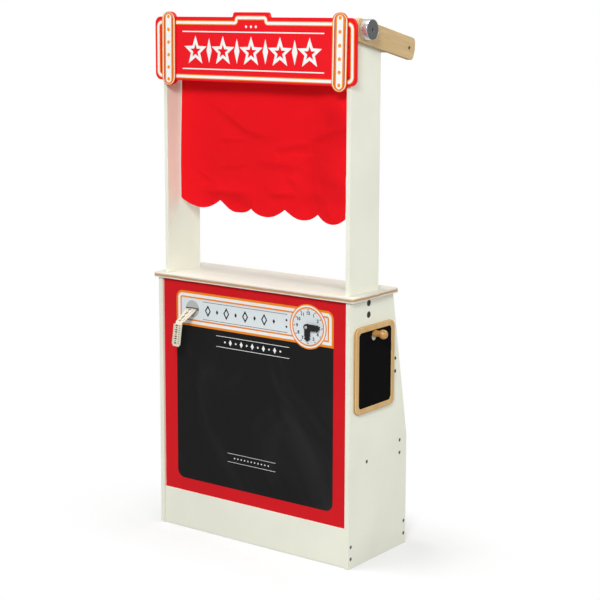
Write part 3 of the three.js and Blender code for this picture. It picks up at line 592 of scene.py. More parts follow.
STRIPE_HALF = 2.6
STRIPE_BORDER = 1.8
STRIPE_SIDE = 237.2
STRIPE_BOTTOM = 933.6
STRIPE_TOP = 1039.4
STRIPE_TAB_SIDE = 36.25
STRIPE_TAB_TOP = 1049.4
STRIPE_RADIUS = 9.0
STRIPE_TAB_RADIUS = 4.5
# Rules as left end, right end, half thickness and heights
SIGN_RULES = (-173.75, 173.75, 1.1, (949.0, 1021.9))
SIGN_RULE_RADIUS = 0.9
SIGN_ROW = 985.4
STAR_ROW = SIGN_ROW - 1.5
STAR_RADII = (30, 14)
STAR_PLACES = (-140, -70, 0, 70, 140)
LOZENGE_PLACES = (-105, -35, 35, 105)
CROWN_ROW = 1032.5


def stripe_loop(offset):
    """The stripe's middle line, moved outwards by an offset: it steps up over the tab."""
    side = STRIPE_SIDE + offset
    bottom = STRIPE_BOTTOM - offset
    top = STRIPE_TOP + offset
    tab = STRIPE_TAB_SIDE + offset
    tab_top = STRIPE_TAB_TOP + offset
    outer = STRIPE_RADIUS + offset
    crown = max(STRIPE_TAB_RADIUS + offset, 0.3)
    foot = max(STRIPE_TAB_RADIUS - offset, 0.3)
    right = [(side, bottom, outer), (side, top, outer), (tab, top, foot), (tab, tab_top, crown)]
    left = [(-x, z, radius) for x, z, radius in reversed(right)]
    return rounded(left[-1:] + right + left[:-1])


def print_sign():
    node = "sign_board"
    border = STRIPE_HALF + STRIPE_BORDER
    printed("sign_stripe_border", [stripe_loop(border), stripe_loop(-border)], "orange_ink", 1, node)
    printed("sign_stripe", [stripe_loop(STRIPE_HALF), stripe_loop(-STRIPE_HALF)], "white_ink", 2, node)
    printed("sign_rules", rules(*SIGN_RULES, SIGN_RULE_RADIUS), "white_ink", 1, node)
    motifs = [star(x, STAR_ROW, radius) for x in STAR_PLACES for radius in STAR_RADII]
    motifs += [lozenge(x, SIGN_ROW, 6.5, 24) for x in LOZENGE_PLACES]
    motifs += [lozenge(x, CROWN_ROW, 3.2, 3.2) for x in (-12, 0, 12)]
    printed("sign_stars", motifs, "white_ink", 1, node)


# Bulb strips: a pill-shaped board with nested bands and a column of bulbs

STRIP_HALF = 17.3
STRIP_END_FLAT = 0.01
# Each strip's middle at its lower end, and how far it leans to the right, in degrees
STRIP_PLACES = {"left": (-208.0, 0.4), "right": (209.8, 0.9)}
# Bands as the finish inside each pill, from the rim inwards: side inset, end inset
STRIP_BANDS = (
    ("orange_ink", 0.0, 0.0),
    ("cream_ink", 1.8, 1.3),
    ("dark_red_ink", 4.4, 1.9),
    ("orange_ink", 6.6, 2.4),
    ("white_ink", 10.5, 5.0),
)
BULB_RADIUS = 3.6
BULB_HEIGHTS = (1051.0, 1025.3, 1000.1, 975.4, 951.0, 927.3)


def leaning(side, points):
    """The points, given from the strip's middle line, where the leaning strip has them."""
    middle, lean = STRIP_PLACES[side]
    foot = extent(f"bulb_strip_{side}")[0].z
    turn = Matrix.Rotation(-math.radians(lean), 2)
    return [Vector((middle, foot)) + turn @ Vector((x, z - foot)) for x, z in points]


def strip_pill(side, side_inset, end_inset):
    low, high = extent(f"bulb_strip_{side}")
    half = STRIP_HALF - side_inset
    corners = ((-half, low.z + end_inset), (half, low.z + end_inset))
    corners += ((half, high.z - end_inset), (-half, high.z - end_inset))
    return leaning(side, rounded([(*corner, half - STRIP_END_FLAT) for corner in corners], steps=16))


def add_bulb_strip(side):
    node = f"bulb_strip_{side}"
    # The board takes the darkened red edge paint, which is partly painted shade on its sides
    cut_out(f"{node}_board", [strip_pill(side, 0, 0)], node)
    pills = [strip_pill(side, side_inset, end_inset) for _, side_inset, end_inset in STRIP_BANDS]
    for i, (finish, _, _) in enumerate(STRIP_BANDS):
        printed(f"{side}_strip_band_{i}", pills[i:i + 2], finish, 1, node)
    bulbs = [leaning(side, circle(0, z, BULB_RADIUS, 32)) for z in BULB_HEIGHTS]
    printed(f"{side}_strip_bulbs", bulbs, "bulb_ink", 2, node)


# Front panel: a chalkboard field under a banner with a clock and the ticket slot

FIELD = (-196.4, 105.2, 198.4, 430.5)
FIELD_RADIUS = 17
BANNER = (-196.4, 428.6, 198.6, 499.8)
BANNER_RADIUS = 16
BANNER_FOOT_RADIUS = 0.4
BANNER_INSETS = (0, 4.6, 10.6, 13.8)
BANNER_RULES = (-126.3, 88.1, 0.45, (445.6, 481.5))
MOTIF_ROW = 463.8
MOTIF_PLACES = range(-113, 79, 24)
MOTIF_HEIGHTS = (12.2, 5.0)
MOTIF_SHARE = 0.62
MOTIF_WALL = (3.2, 5.2)
# Two dots after the motifs: place across, radius and heights
END_DOTS = (86, 2.3, (457, 470))
FIELD_RULES = (-91.3, 93.1, 0.5, (394.7, 416.7))
FIELD_ROW = 405.7
FIELD_MARKS = ((4.0, 6.2), (2.6, 2.6))
FIELD_STEP = 14
FIELD_MIDDLE = 1
FOOT_RULES = (-63, 58.9, 0.35, (160.4, 178.0))
FOOT_ROW = 169.3
FOOT_STEP = 8.6
FOOT_MIDDLE = -2
FOOT_DOT = 1.5
ROW_HALF = 5
SLOT_CENTER = (-154.0, 464.3)
SLOT_HALF = (15.7, 1.4)
# Width of the black ring painted round the slot: painted shade standing for the dark inside of the slot
SLOT_SHADE_WIDTH = 1.1
SLOT_DISC = (-153.6, 464.4, 17.2)


def slot_loop(rim=0.0):
    x, z = SLOT_CENTER
    wide, tall = SLOT_HALF[0] + rim, SLOT_HALF[1] + rim
    return rectangle(x - wide, z - tall, x + wide, z + tall, tall * 0.6)


def banner_loop(inset):
    left, bottom, right, top = BANNER
    upper = max(BANNER_RADIUS - inset, 2.5)
    return rectangle(left + inset, bottom + inset, right - inset, top - inset, BANNER_FOOT_RADIUS, upper)


def panel_motifs():
    """A row of open lozenges with small ones between them, and two dots at its end."""
    motifs = []
    for i, x in enumerate(MOTIF_PLACES):
        tall = MOTIF_HEIGHTS[i % 2]
        motifs.append(lozenge(x, MOTIF_ROW, tall * MOTIF_SHARE, tall))
        if i % 2 == 0:
            motifs.append(lozenge(x, MOTIF_ROW, tall * MOTIF_SHARE - MOTIF_WALL[0], tall - MOTIF_WALL[1]))
    x, radius, heights = END_DOTS
    return motifs + [circle(x, z, radius, 24) for z in heights]


def field_marks():
    """A row of lozenges between the upper rules and a row of dots between the lower ones."""
    places = range(-ROW_HALF, ROW_HALF + 1)
    marks = [lozenge(FIELD_MIDDLE + FIELD_STEP * i, FIELD_ROW, *FIELD_MARKS[i % 2]) for i in places]
    return marks + [circle(FOOT_MIDDLE + FOOT_STEP * i, FOOT_ROW, FOOT_DOT, 16) for i in places]


def print_panel():
    outer, white, orange, inner = (banner_loop(inset) for inset in BANNER_INSETS)
    prints = (
        ("chalkboard_field", [rectangle(*FIELD, FIELD_RADIUS, 0)], "chalk_black", 1),
        ("banner_orange", [outer, white, orange, inner], "orange_ink", 2),
        ("banner_white", [white, orange], "white_ink", 2),
        ("banner_middle", [inner, slot_loop()], "pale_blue_ink", 2),
        ("slot_disc", [circle(*SLOT_DISC), slot_loop()], "grey_ink", 3),
        # The black ring round the slot is painted shade for the slot's dark inside, not a rim of the slot
        ("slot_painted_shade", [slot_loop(SLOT_SHADE_WIDTH), slot_loop()], "black_ink", 4),
        ("banner_rules", rules(*BANNER_RULES), "black_ink", 3),
        ("banner_motifs", panel_motifs(), "black_ink", 3),
        ("field_marks", rules(*FIELD_RULES) + rules(*FOOT_RULES) + field_marks(), "white_ink", 2),
    )
    for name, loops, finish, level in prints:
        printed(name, loops, finish, level, "front_panel")


# Clock: a printed dial with plain numbers, and two flat hands

CLOCK_CENTER = (PIVOTS["hour_hand_turn"].x / MM, PIVOTS["hour_hand_turn"].z / MM)
CLOCK_RADII = (44, 41.5, 38.3, 35.4)
CLOCK_HOLE = 5.4
DOT_ELLIPSE = (33.2, 33.0)
DOT_RADIUS = 1.25
NUMERAL_RADIUS = 26.5
NUMERAL_SIZE = 8.8
NUMERAL_BOLDNESS = 0.34
DIAL_MARK_LEVEL = 5
HAND_HALF = 6.3
HAND_HOLE = 2.3
HAND_STEPS = 20
HAND_EDGE = 0.35
# Half a hand's outline from its round end to its tip, as shares of its length and of its half width
HAND_HEAD = ((0.64, 1.0), (0.73, 0.76), (0.80, 1.16), (0.86, 0.92), (0.985, 0.16))
HAND_TIPS = {"clock_hour_hand": (0, -28.2), "clock_minute_hand": (31.4, 0)}


def add_hands():
    """Flat hands with a round end at the pivot and an arrow-like tip."""
    center = Vector(CLOCK_CENTER)
    for node, tip in HAND_TIPS.items():
        along = Vector(tip)
        across = Vector((-tip[1], tip[0])).normalized()
        outline = []
        for step in range(HAND_STEPS + 1):
            angle = math.pi / 2 + math.pi * step / HAND_STEPS
            reach = along.normalized() * math.cos(angle) + across * math.sin(angle)
            outline.append(center + reach * HAND_HALF)
        sides = [(share, -wide) for share, wide in HAND_HEAD] + [(1.0, 0.0)]
        sides += [(share, wide) for share, wide in reversed(HAND_HEAD)]
        outline += [center + along * share + across * wide * HAND_HALF for share, wide in sides]
        soften(cut_out(f"{node}_shape", [outline, circle(*center, HAND_HOLE, 32)], node), HAND_EDGE)


def numeral(hour, x, z):
    """A number of the dial, centred at a place."""
    text = bpy.data.curves.new("numeral", "FONT")
    text.body = str(hour)
    text.size = NUMERAL_SIZE * MM
    text.align_x = "CENTER"
    text.align_y = "CENTER"
    text.extrude = INK / 2 * MM
    text.offset = NUMERAL_BOLDNESS * MM
    mesh = filled(text, DIAL_MARK_LEVEL * INK_STEP - extent("front_panel")[0].y)
    mesh.transform(Matrix.Translation((x * MM, 0, z * MM)))
    return mesh


def print_clock():
    node = "front_panel"
    x, z = CLOCK_CENTER
    rim, pale, orange, dial = CLOCK_RADII
    printed("clock_rim", ring(x, z, rim, CLOCK_HOLE), "orange_ink", 3, node)
    printed("clock_band", ring(x, z, pale, orange), "white_ink", 4, node)
    printed("clock_dial", ring(x, z, dial, CLOCK_HOLE), "pale_blue_ink", 4, node)
    dots = []
    joined = bmesh.new()
    for hour in range(1, 13):
        angle = math.pi / 2 - math.tau * hour / 12
        wide, tall = DOT_ELLIPSE
        dots.append(circle(x + wide * math.cos(angle), z + tall * math.sin(angle), DOT_RADIUS, 16))
        joined.from_mesh(numeral(hour, *polar(x, z, NUMERAL_RADIUS, angle)))
    printed("clock_dots", dots, "black_ink", DIAL_MARK_LEVEL, node)
    numerals = bpy.data.meshes.new("clock_numerals")
    joined.to_mesh(numerals)
    joined.free()
    add_piece("clock_numerals", numerals, node, "black_ink")


# Boards, posts and arms

BOARD_EDGE = 0.7
SHEET_EDGE = 0.5
ARM_EDGE = 1.3
COUNTER_EDGE = 1.2
FRAME_EDGE = 0.9
SLATE_EDGE = 0.3
TURNED_EDGE = 0.25
BETWEEN_SIDES = (
    "plinth_board", "shelf_lower", "shelf_upper", "shelf_lip_lower", "shelf_lip_upper", "back_rail",
)
SMALL_TURNED = ("post_bolt", "arm_screw", "knob_screw", "clock_spacer", "clock_pivot", "arm_crossbar")


def dress_boards():
    for side in SIDES:
        dress(f"side_panel_{side}", BOARD_EDGE)
        dress(f"post_{side}", BOARD_EDGE)
        dress(f"arm_{side}", ARM_EDGE, "arm")
    dress("front_panel", SHEET_EDGE)
    dress("counter_top", COUNTER_EDGE, "counter")
    dress("sign_board", SHEET_EDGE)
    board_end = extent("front_panel")[1].x
    for node in BETWEEN_SIDES:
        dress(node, BOARD_EDGE, trim=board_end)
    dress("hanging_board_frame", FRAME_EDGE, "board_frame")
    dress("hanging_board_panel", SLATE_EDGE, "slate_black")


def dress_turned_nodes():
    """Rods and small turned nodes keep their CAD shape, with smooth sides."""
    for name in frame["nodes"]:
        if name.startswith(SMALL_TURNED):
            dress(name, TURNED_EDGE)


# Fasteners: heads seated where the CAD has them

SCREW_SEGMENTS = 40
PANEL_SCREW_HEAD = 3.9
PANEL_SCREW_DEPTH = 2.6
PANEL_SCREW_DRIVE = 1.7
# Where a pair of screws or a single one sits in a board's edge, as shares of its size
PAIR_SHARES = (0.24, 0.76)
PLINTH_SHARES = (0.24, 0.55)
SHELF_SHARE = 0.31
SIGN_SCREW_HEAD = 2.9
SIGN_SCREW_SHANK = 1.5
SIGN_SCREW_SEAT = 0.75


def panel_screw_places():
    """Where the screws sit in a side panel's face, as (y, z), from the boards that they hold."""
    places = []
    for node in ("back_rail", "shelf_lip_lower", "shelf_lip_upper"):
        low, high = extent(node)
        places += [((low.y + high.y) / 2, low.z + share * (high.z - low.z)) for share in PAIR_SHARES]
    low, high = extent("plinth_board")
    places += [((low.y + high.y) / 2, high.z * share) for share in PLINTH_SHARES]
    front = extent("front_panel")[1].y
    for level in ("lower", "upper"):
        low, high = extent(f"shelf_{level}")
        back = extent(f"shelf_lip_{level}")[0].y
        places.append((front + SHELF_SHARE * (back - front), (low.z + high.z) / 2))
    return places


def add_panel_screws():
    """Countersunk heads with a domed face and a drive recess, in both side panels."""
    head, depth, drive = PANEL_SCREW_HEAD, PANEL_SCREW_DEPTH, PANEL_SCREW_DRIVE
    profile = [
        (0, drive * 0.9), (drive * 0.35, drive * 0.75), (drive, 0.25), (drive + 0.15, 0.0),
        (head - 0.35, 0.0), (head, 0.3), (head - (depth - 0.3) * 0.6, depth), (0, depth),
    ]
    node = "plinth_board"
    face = extent(node)[1].x
    for side, sign in SIDES.items():
        for i, (y, z) in enumerate(panel_screw_places(), 1):
            turned(
                f"panel_screw_{side}_{i}", profile, (sign * face, y, z), (-sign, 0, 0), node,
                slot="steel", segments=SCREW_SEGMENTS,
            )


def add_sign_screws():
    """Round heads on the sign's face, each with the CAD screw's shank behind it."""
    for node in [name for name in frame["nodes"] if name.startswith("sign_screw")]:
        low, high = extent(node)
        middle = (low + high) / 2
        length = high.y - low.y
        profile = [
            (0, 0.35), (0.9, 0.3), (1.0, 0), (SIGN_SCREW_HEAD - 0.6, 0), (SIGN_SCREW_HEAD, 0.35),
            (SIGN_SCREW_HEAD, SIGN_SCREW_SEAT), (SIGN_SCREW_SHANK, SIGN_SCREW_SEAT),
            (SIGN_SCREW_SHANK, length), (0, length),
        ]
        place = (middle.x, low.y, middle.z)
        head = turned(f"{node}_head", profile, place, (0, 1, 0), node, "screw_steel", segments=SCREW_SEGMENTS)
        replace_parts(head, node)


# Roller, knobs and peg

ROLLER_Y = PIVOTS["curtain_winding"].y / MM
ROLLER_Z = PIVOTS["curtain_winding"].z / MM
JOURNAL_RADIUS = 5.0
SHOULDER_GAP = 0.3
ROLLER_EDGE = 0.5
SLEEVE_HALF = 216
SLEEVE_GAP = 0.03
SLEEVE_REACH = 0.22
KNOB_RIM = 0.8
KNOB_RECESS = 2.2
KNOB_EDGE = 0.55
DISC_HOLE = 2.6
DISC_CHAMFER = (0.3, 0.4)
DISC_FLAT = 3
DISC_EDGE = 0.25


def add_roller():
    """The rod with its journals, and the turn of cloth that lies on it at rest."""
    node = "curtain_roller"
    low, high = extent(node)
    radius = (high.z - low.z) / 2
    shoulder = extent("post_right")[0].x - SHOULDER_GAP
    half_profile = [(radius, shoulder), (JOURNAL_RADIUS, shoulder), (JOURNAL_RADIUS, high.x), (0, high.x)]
    profile = [(reach, -distance) for reach, distance in reversed(half_profile)] + half_profile
    place = (0, ROLLER_Y, ROLLER_Z)
    roller = turned("roller_rod", rounded_line(profile, ROLLER_EDGE), place, (1, 0, 0), node)
    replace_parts(roller, node)
    inner, outer = radius + SLEEVE_GAP, radius + SLEEVE_REACH
    sleeve = [(inner, -SLEEVE_HALF), (outer, -SLEEVE_HALF), (outer, SLEEVE_HALF), (inner, SLEEVE_HALF)]
    turned("curtain_on_roller", sleeve + sleeve[:1], place, (1, 0, 0), node, slot="red_cloth")


def add_end_piece(name, node, sign, corners, edge):
    """A ring at an end of the roller. corners gives its profile for a radius and a length."""
    low, high = extent(node)
    profile = rounded_line(corners((high.z - low.z) / 2, high.x - low.x), edge)
    place = (low.x if sign > 0 else high.x, ROLLER_Y, ROLLER_Z)
    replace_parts(turned(name, profile + profile[:1], place, (sign, 0, 0), node), node)


def knob_corners(radius, length):
    lip = radius - KNOB_RIM
    floor = length - KNOB_RECESS
    return [
        (JOURNAL_RADIUS, 0), (radius, 0), (radius, length), (lip, length),
        (lip, floor), (JOURNAL_RADIUS, floor),
    ]


def disc_corners(radius, length):
    return [
        (DISC_HOLE, 0), (radius, 0), (radius, length), (radius - DISC_FLAT, length),
        (DISC_HOLE + DISC_CHAMFER[0], length), (DISC_HOLE, length - DISC_CHAMFER[1]),
    ]


def add_knobs():
    for side, sign in SIDES.items():
        add_end_piece(f"knob_{side}", f"roller_knob_{side}", sign, knob_corners, KNOB_EDGE)
        add_end_piece(f"knob_disc_{side}", f"knob_face_{side}", sign, disc_corners, DISC_EDGE)


PEG_SHAFT = 6.8
PEG_NECK = 5.9
PEG_SHAFT_END = 5.6
PEG_NECK_START = 10.5
PEG_STEPS = 20


def add_peg():
    """The hanging board's peg: a shaft that narrows to a neck behind a ball."""
    node = "hanging_peg"
    low, high = extent(node)
    pivot = PIVOTS["board_swing"] / MM
    ball = (high.z - low.z) / 2
    ball_center = high.x - ball
    face = extent("side_panel_right")[1].x
    profile = [(0, low.x), (PEG_SHAFT, low.x), (PEG_SHAFT, face + PEG_SHAFT_END)]
    profile.append((PEG_NECK + 0.2, face + PEG_NECK_START))
    start = math.pi - math.asin(PEG_NECK / ball)
    for step in range(PEG_STEPS + 1):
        angle = start * (1 - step / PEG_STEPS)
        profile.append((ball * math.sin(angle), ball_center + ball * math.cos(angle)))
    profile[-1] = (0, high.x)
    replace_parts(turned("board_peg", profile, (0, pivot.y, pivot.z), (1, 0, 0), node), node)


# Curtain: a cotton sheet from the roller's back, with soft folds, creases and a scalloped edge

CURTAIN_COLUMNS = 240
CURTAIN_ROWS = 200
CURTAIN_GAP = 0.9
SCALLOPS = 5
SCALLOP_DEPTH = 16
CLOTH_THICKNESS = 1.0
CLOTH_ANGLE = math.radians(60)
# How the cloth hangs: distance from its back plane, depth, number and start of its waves
HANG = (2.6, 1.2, 2.4, 0.4)
# The uneven part of the hang, which starts this far across: width, height, seed and depth of its noise
DRIFT_START = 0.12
DRIFTS = ((60, 80, 3.7, 2.2), (22, 18, 9.1, 0.5))
# Folds as points (x, height) along each, its depth, its half width and how far the cloth takes to recover
FOLDS = (
    (((-152, 882), (-81, 844), (-48, 825), (-10, 817), (34, 814)), 2.4, 5.0, 26),
    (((100, 812), (115, 816), (148, 827), (190, 838), (232, 850)), 2.6, 3.6, 18),
    (((22, 791), (34, 793), (68, 801), (111, 807), (122, 809)), 2.4, 4.2, 16),
    (((18, 786), (87, 788.5), (158, 790)), -0.7, 2.4, 10),
    (((-24, 764), (36, 762), (95, 758)), 2.2, 6.5, 24),
    (((-138, 750), (-81, 753), (-40, 762)), 1.0, 3.0, 14),
    (((-182, 742), (-128, 714)), 1.0, 4.0, 16),
    (((-168, 694), (-107, 698), (-36, 697)), 3.6, 5.5, 22),
    (((-124, 690), (-80, 688), (-34, 680)), 2.6, 8.0, 18),
    (((-2, 702), (36, 704), (76, 706)), 2.2, 3.6, 15),
    (((44, 744), (92, 713)), 1.2, 6.0, 20),
    (((80, 694), (108, 704), (142, 716)), 2.2, 9.0, 26),
    (((112, 743), (160, 742), (225, 738)), 0.7, 9.0, 26),
    (((-132, 805), (-48, 807)), 1.2, 3.2, 15),
)
FOLD_FADE = 0.7
# How the scalloped edge is drawn in and lifted: half scallops from the left, shift across, shift up
EDGE_SHIFTS = (
    (0, 0, 8), (1, 8, 6), (2, 9, 8), (3, 6.5, 2.2), (4, 2.5, -3), (5, 1.5, -0.6),
    (6, 1.7, 1.5), (7, 0, 0.2), (8, -3.5, -1), (9, -6, 0.8), (10, -8.5, -1),
)
# How far each side comes forward at the lower corners: from where across, to where up
CURLS = {"left": (7.5, 140, 960, 740), "right": (30, 92, 985, 745)}
# Swellings of the cloth: place, how far forward, radius
SWELLINGS = (
    (200, 880, 14, 44), (-75, 668, -5, 34), (190, 700, -3, 26), (-30, 850, 2.5, 60), (60, 720, 2.5, 50),
)


def clamped(share):
    return min(1.0, max(0.0, share))


def ease_in(value, start, end):
    share = clamped((value - start) / (end - start))
    return share * share * (3 - 2 * share)


def nearest_on_line(place, line):
    """How far a place is from a line, on which side of it (1 or -1) and at which share of the line."""
    nearest = None
    for i in range(len(line) - 1):
        start = Vector(line[i])
        along = Vector(line[i + 1]) - start
        share = clamped((place - start).dot(along) / along.length_squared)
        offset = place - start - along * share
        if nearest is None or offset.length < nearest[0]:
            side = 1 if along.x * offset.y - along.y * offset.x > 0 else -1
            nearest = (offset.length, side, (i + share) / (len(line) - 1))
    return nearest


def fold_depth(x, z):
    """How far the folds push the cloth at a place: a step across each line, the cloth above it forward."""
    depth = 0.0
    for line, amount, width, reach in FOLDS:
        low = min(mark[1] for mark in line) - 2 * reach
        high = max(mark[1] for mark in line) + 2 * reach
        if not (low < z < high and line[0][0] - 2 * reach < x < line[-1][0] + 2 * reach):
            continue
        away, side, share = nearest_on_line(Vector((x, z)), line)
        fade = math.sin(math.pi * share) ** FOLD_FADE if 0 < share < 1 else 0.0
        depth -= amount * side * math.tanh(away / width) * math.exp(-away * away / (reach * reach)) * fade
    return depth


def forward(x, z, half):
    """How far the cloth comes forward at a place, where its sides curl and where it swells."""
    total = 0.0
    for side, (amount, start, top, low) in CURLS.items():
        total += amount * ease_in(SIDES[side] * x, start, half) * ease_in(-z, -top, -low)
    for at_x, at_z, amount, radius in SWELLINGS:
        total += amount * math.exp(-((x - at_x) ** 2 + (z - at_z) ** 2) / (radius * radius))
    return total


def edge_shift(across, down):
    """The shift across and up of a place on the cloth, which grows towards its lower edge."""
    spot = across * (len(EDGE_SHIFTS) - 1)
    i = min(int(spot), len(EDGE_SHIFTS) - 2)
    share = (1 - math.cos(math.pi * (spot - i))) / 2
    first, second = EDGE_SHIFTS[i], EDGE_SHIFTS[i + 1]
    sideways = first[1] + share * (second[1] - first[1])
    upwards = first[2] + share * (second[2] - first[2])
    return sideways * down, upwards * down * down


def cloth_point(across, down, half, top, length, back):
    """A place on the hanging cloth, from shares across and down it."""
    in_scallop = across * SCALLOPS % 1
    scallop = 4 * in_scallop * (1 - in_scallop) * SCALLOP_DEPTH
    sideways, upwards = edge_shift(across, down)
    x = half * (2 * across - 1) + sideways
    z = top - down * (length + scallop) + upwards
    drift = sum(noise.noise(Vector((x / wide, z / tall, seed))) * depth for wide, tall, seed, depth in DRIFTS)
    away, wave, waves, start = HANG
    hang = away + wave * math.sin(math.pi * (waves * across + start))
    hang += drift * ease_in(across, 0, DRIFT_START)
    y = back + down * (2 - down) * (hang + fold_depth(x, z)) - forward(x, z, half)
    return Vector((x, y, z)) * MM


def add_curtain():
    low, high = extent("curtain")
    half = high.x
    length = high.z - low.z - SCALLOP_DEPTH
    place = (half, high.z, length, low.y + CURTAIN_GAP)
    points = []
    for row in range(CURTAIN_ROWS + 1):
        for column in range(CURTAIN_COLUMNS + 1):
            points.append(cloth_point(column / CURTAIN_COLUMNS, row / CURTAIN_ROWS, *place))
    faces = []
    stride = CURTAIN_COLUMNS + 1
    for row in range(CURTAIN_ROWS):
        for column in range(CURTAIN_COLUMNS):
            corner = row * stride + column
            faces.append((corner, corner + stride, corner + stride + 1, corner + 1))
    curtain = new_piece("curtain_cloth", points, faces, "curtain")
    curtain.data.shade_smooth()
    thicken(curtain, CLOTH_THICKNESS)
    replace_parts(curtain, "curtain")
    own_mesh(curtain)


def thicken(piece, thickness):
    """Gives an open sheet its thickness, to both sides alike, with smooth rims."""
    shell = piece.modifiers.new("thickness", "SOLIDIFY")
    shell.thickness = thickness * MM
    shell.offset = 0
    shell.use_even_offset = True
    shown = piece.evaluated_get(bpy.context.evaluated_depsgraph_get())
    mesh = bpy.data.meshes.new_from_object(shown)
    piece.modifiers.clear()
    piece.data = mesh
    smooth(piece, CLOTH_ANGLE)


# Tickets: a paper strip that leaves the slot and folds down, with marks printed on it

PAPER_THICKNESS = 0.5
MARK_THICKNESS = 0.05
TICKETS = 2
TICKET_LENGTH = 49.0
TICKET_BEND = 3.0
TICKET_TWIST = math.radians(10)
TICKET_LEAN = 3.5
TICKET_NOTCH = 3.6
NOTCH_STEPS = 8
OUTER_STEPS = 80
INNER_STEPS = 40
SLOT_STRAIGHT = 2.4
ROLL_GAP = 0.6
# How far forward and down the first and the second ticket reach, as shares of their length
TICKET_FALLS = ((0.86, 0.5), (0.075, 0.93))
LEVEL = 1e-6
# Rows of marks along each ticket: first, step, number, half height, and left and right ends in turn
MARK_ROWS = (
    (6.5, 4.5, 9, 1.2, ((-6.4, 0.4), (-4.6, -1.4), (-6.4, 0.4))),
    (6.5, 4.5, 9, 0.7, ((5.0, 7.8),)),
    (4.5, 3.3, 13, 0.5, ((-10.6, -9.8),)),
    (4.5, 3.3, 13, 0.5, ((10.0, 10.8),)),
)
DASH_PLACES = (-8.4, -4.2, 0.0, 4.2, 8.4)
DASH_HALF = 1.0
DASH_HALF_HEIGHT = 0.3


def ticket_route():
    """The strip's middle line from the roll's top to its free end, as (y, z)."""
    panel_low, panel_high = extent("front_panel")
    slot_z = SLOT_CENTER[1]
    entry = (panel_high.y + SLOT_STRAIGHT, slot_z)
    corners = [entry, (panel_low.y - SLOT_STRAIGHT, slot_z)]
    for forward_share, down_share in TICKET_FALLS:
        y, z = corners[-1]
        corners.append((y - forward_share * TICKET_LENGTH, z - down_share * TICKET_LENGTH))
    roll_low, roll_high = extent("ticket_roll")
    center = Vector(((roll_low.y + roll_high.y) / 2, (roll_low.z + roll_high.z) / 2))
    reach = (roll_high.z - roll_low.z) / 2 + ROLL_GAP
    towards = Vector(entry) - center
    turn = -math.acos(reach / towards.length)
    touch = center + Matrix.Rotation(turn, 2) @ (towards.normalized() * reach)
    return rounded_line([tuple(touch), *corners], TICKET_BEND, 8)


def at_length(route, distance):
    """The place and the upward normal at a distance back from the route's end."""
    left = distance
    for i in range(len(route) - 1, 0, -1):
        step = route[i - 1] - route[i]
        if left <= step.length or i == 1:
            along = step.normalized()
            return route[i] + along * left, Vector((-along.y, along.x))
        left -= step.length


def on_strip(route, distance, across, height):
    """A place on the strip, back from its end, across from its middle and above it: it twists as it hangs."""
    place, normal = at_length(route, distance)
    normal = -normal if normal.y < 0 or (abs(normal.y) < LEVEL and normal.x > 0) else normal
    low, high = extent("ticket_strip")
    twist = TICKET_TWIST * ease_in(TICKETS * TICKET_LENGTH - distance, 0, TICKET_LENGTH)
    side = across * math.cos(twist) - height * math.sin(twist)
    spot = place + normal * (across * math.sin(twist) + height * math.cos(twist))
    lean = TICKET_LEAN * max(0.0, 1 - distance / TICKET_LENGTH)
    return Vector(((low.x + high.x) / 2 + side - lean, spot.x, spot.y)) * MM


def strip_patch(route, distances, sides, lift, thickness):
    """Points and faces of a piece of the strip, with its left and right sides at each distance."""
    points = []
    for distance, both in zip(distances, sides):
        for across in both:
            for height in (lift, lift + thickness):
                points.append(on_strip(route, distance, across, height))
    last = len(points) - 4
    faces = [(0, 1, 3, 2), (last, last + 2, last + 3, last + 1)]
    for a in range(0, last, 4):
        b = a + 4
        faces += [(a, b, b + 1, a + 1), (a + 2, a + 3, b + 3, b + 2)]
        faces += [(a + 1, b + 1, b + 3, a + 3), (a, a + 2, b + 2, b)]
    return points, faces


def add_patches(name, patches, finish=None):
    """Patches of the ticket strip as one piece."""
    points = []
    faces = []
    for patch_points, patch_faces in patches:
        start = len(points)
        points += patch_points
        faces += [tuple(start + i for i in face) for face in patch_faces]
    piece = new_piece(name, points, faces, "ticket_strip", finish)
    mesh = bmesh.new()
    mesh.from_mesh(piece.data)
    bmesh.ops.recalc_face_normals(mesh, faces=mesh.faces)
    mesh.to_mesh(piece.data)
    mesh.free()
    return smooth(piece)


def strip_distances(route):
    """Where the strip has its points, back from its end: close together round the notches."""
    total = sum((b - a).length for a, b in zip(route, route[1:]))
    outside = TICKETS * TICKET_LENGTH
    distances = {outside * i / OUTER_STEPS for i in range(OUTER_STEPS + 1)}
    for end in range(TICKETS + 1):
        for step in range(-NOTCH_STEPS, NOTCH_STEPS + 1):
            distances.add(end * TICKET_LENGTH + TICKET_NOTCH * math.sin(math.pi / 2 * step / NOTCH_STEPS))
    seen = sorted(distance for distance in distances if 0 <= distance <= outside - TICKET_NOTCH)
    return seen + [outside + (total - outside) * i / INNER_STEPS for i in range(INNER_STEPS + 1)]


def half_width(distance, half):
    """The strip's half width at a distance, with round notches where two tickets part."""
    distance = min(distance, TICKETS * TICKET_LENGTH - TICKET_NOTCH)
    away = abs(distance - round(distance / TICKET_LENGTH) * TICKET_LENGTH)
    return half - math.sqrt(max(0.0, TICKET_NOTCH * TICKET_NOTCH - away * away))


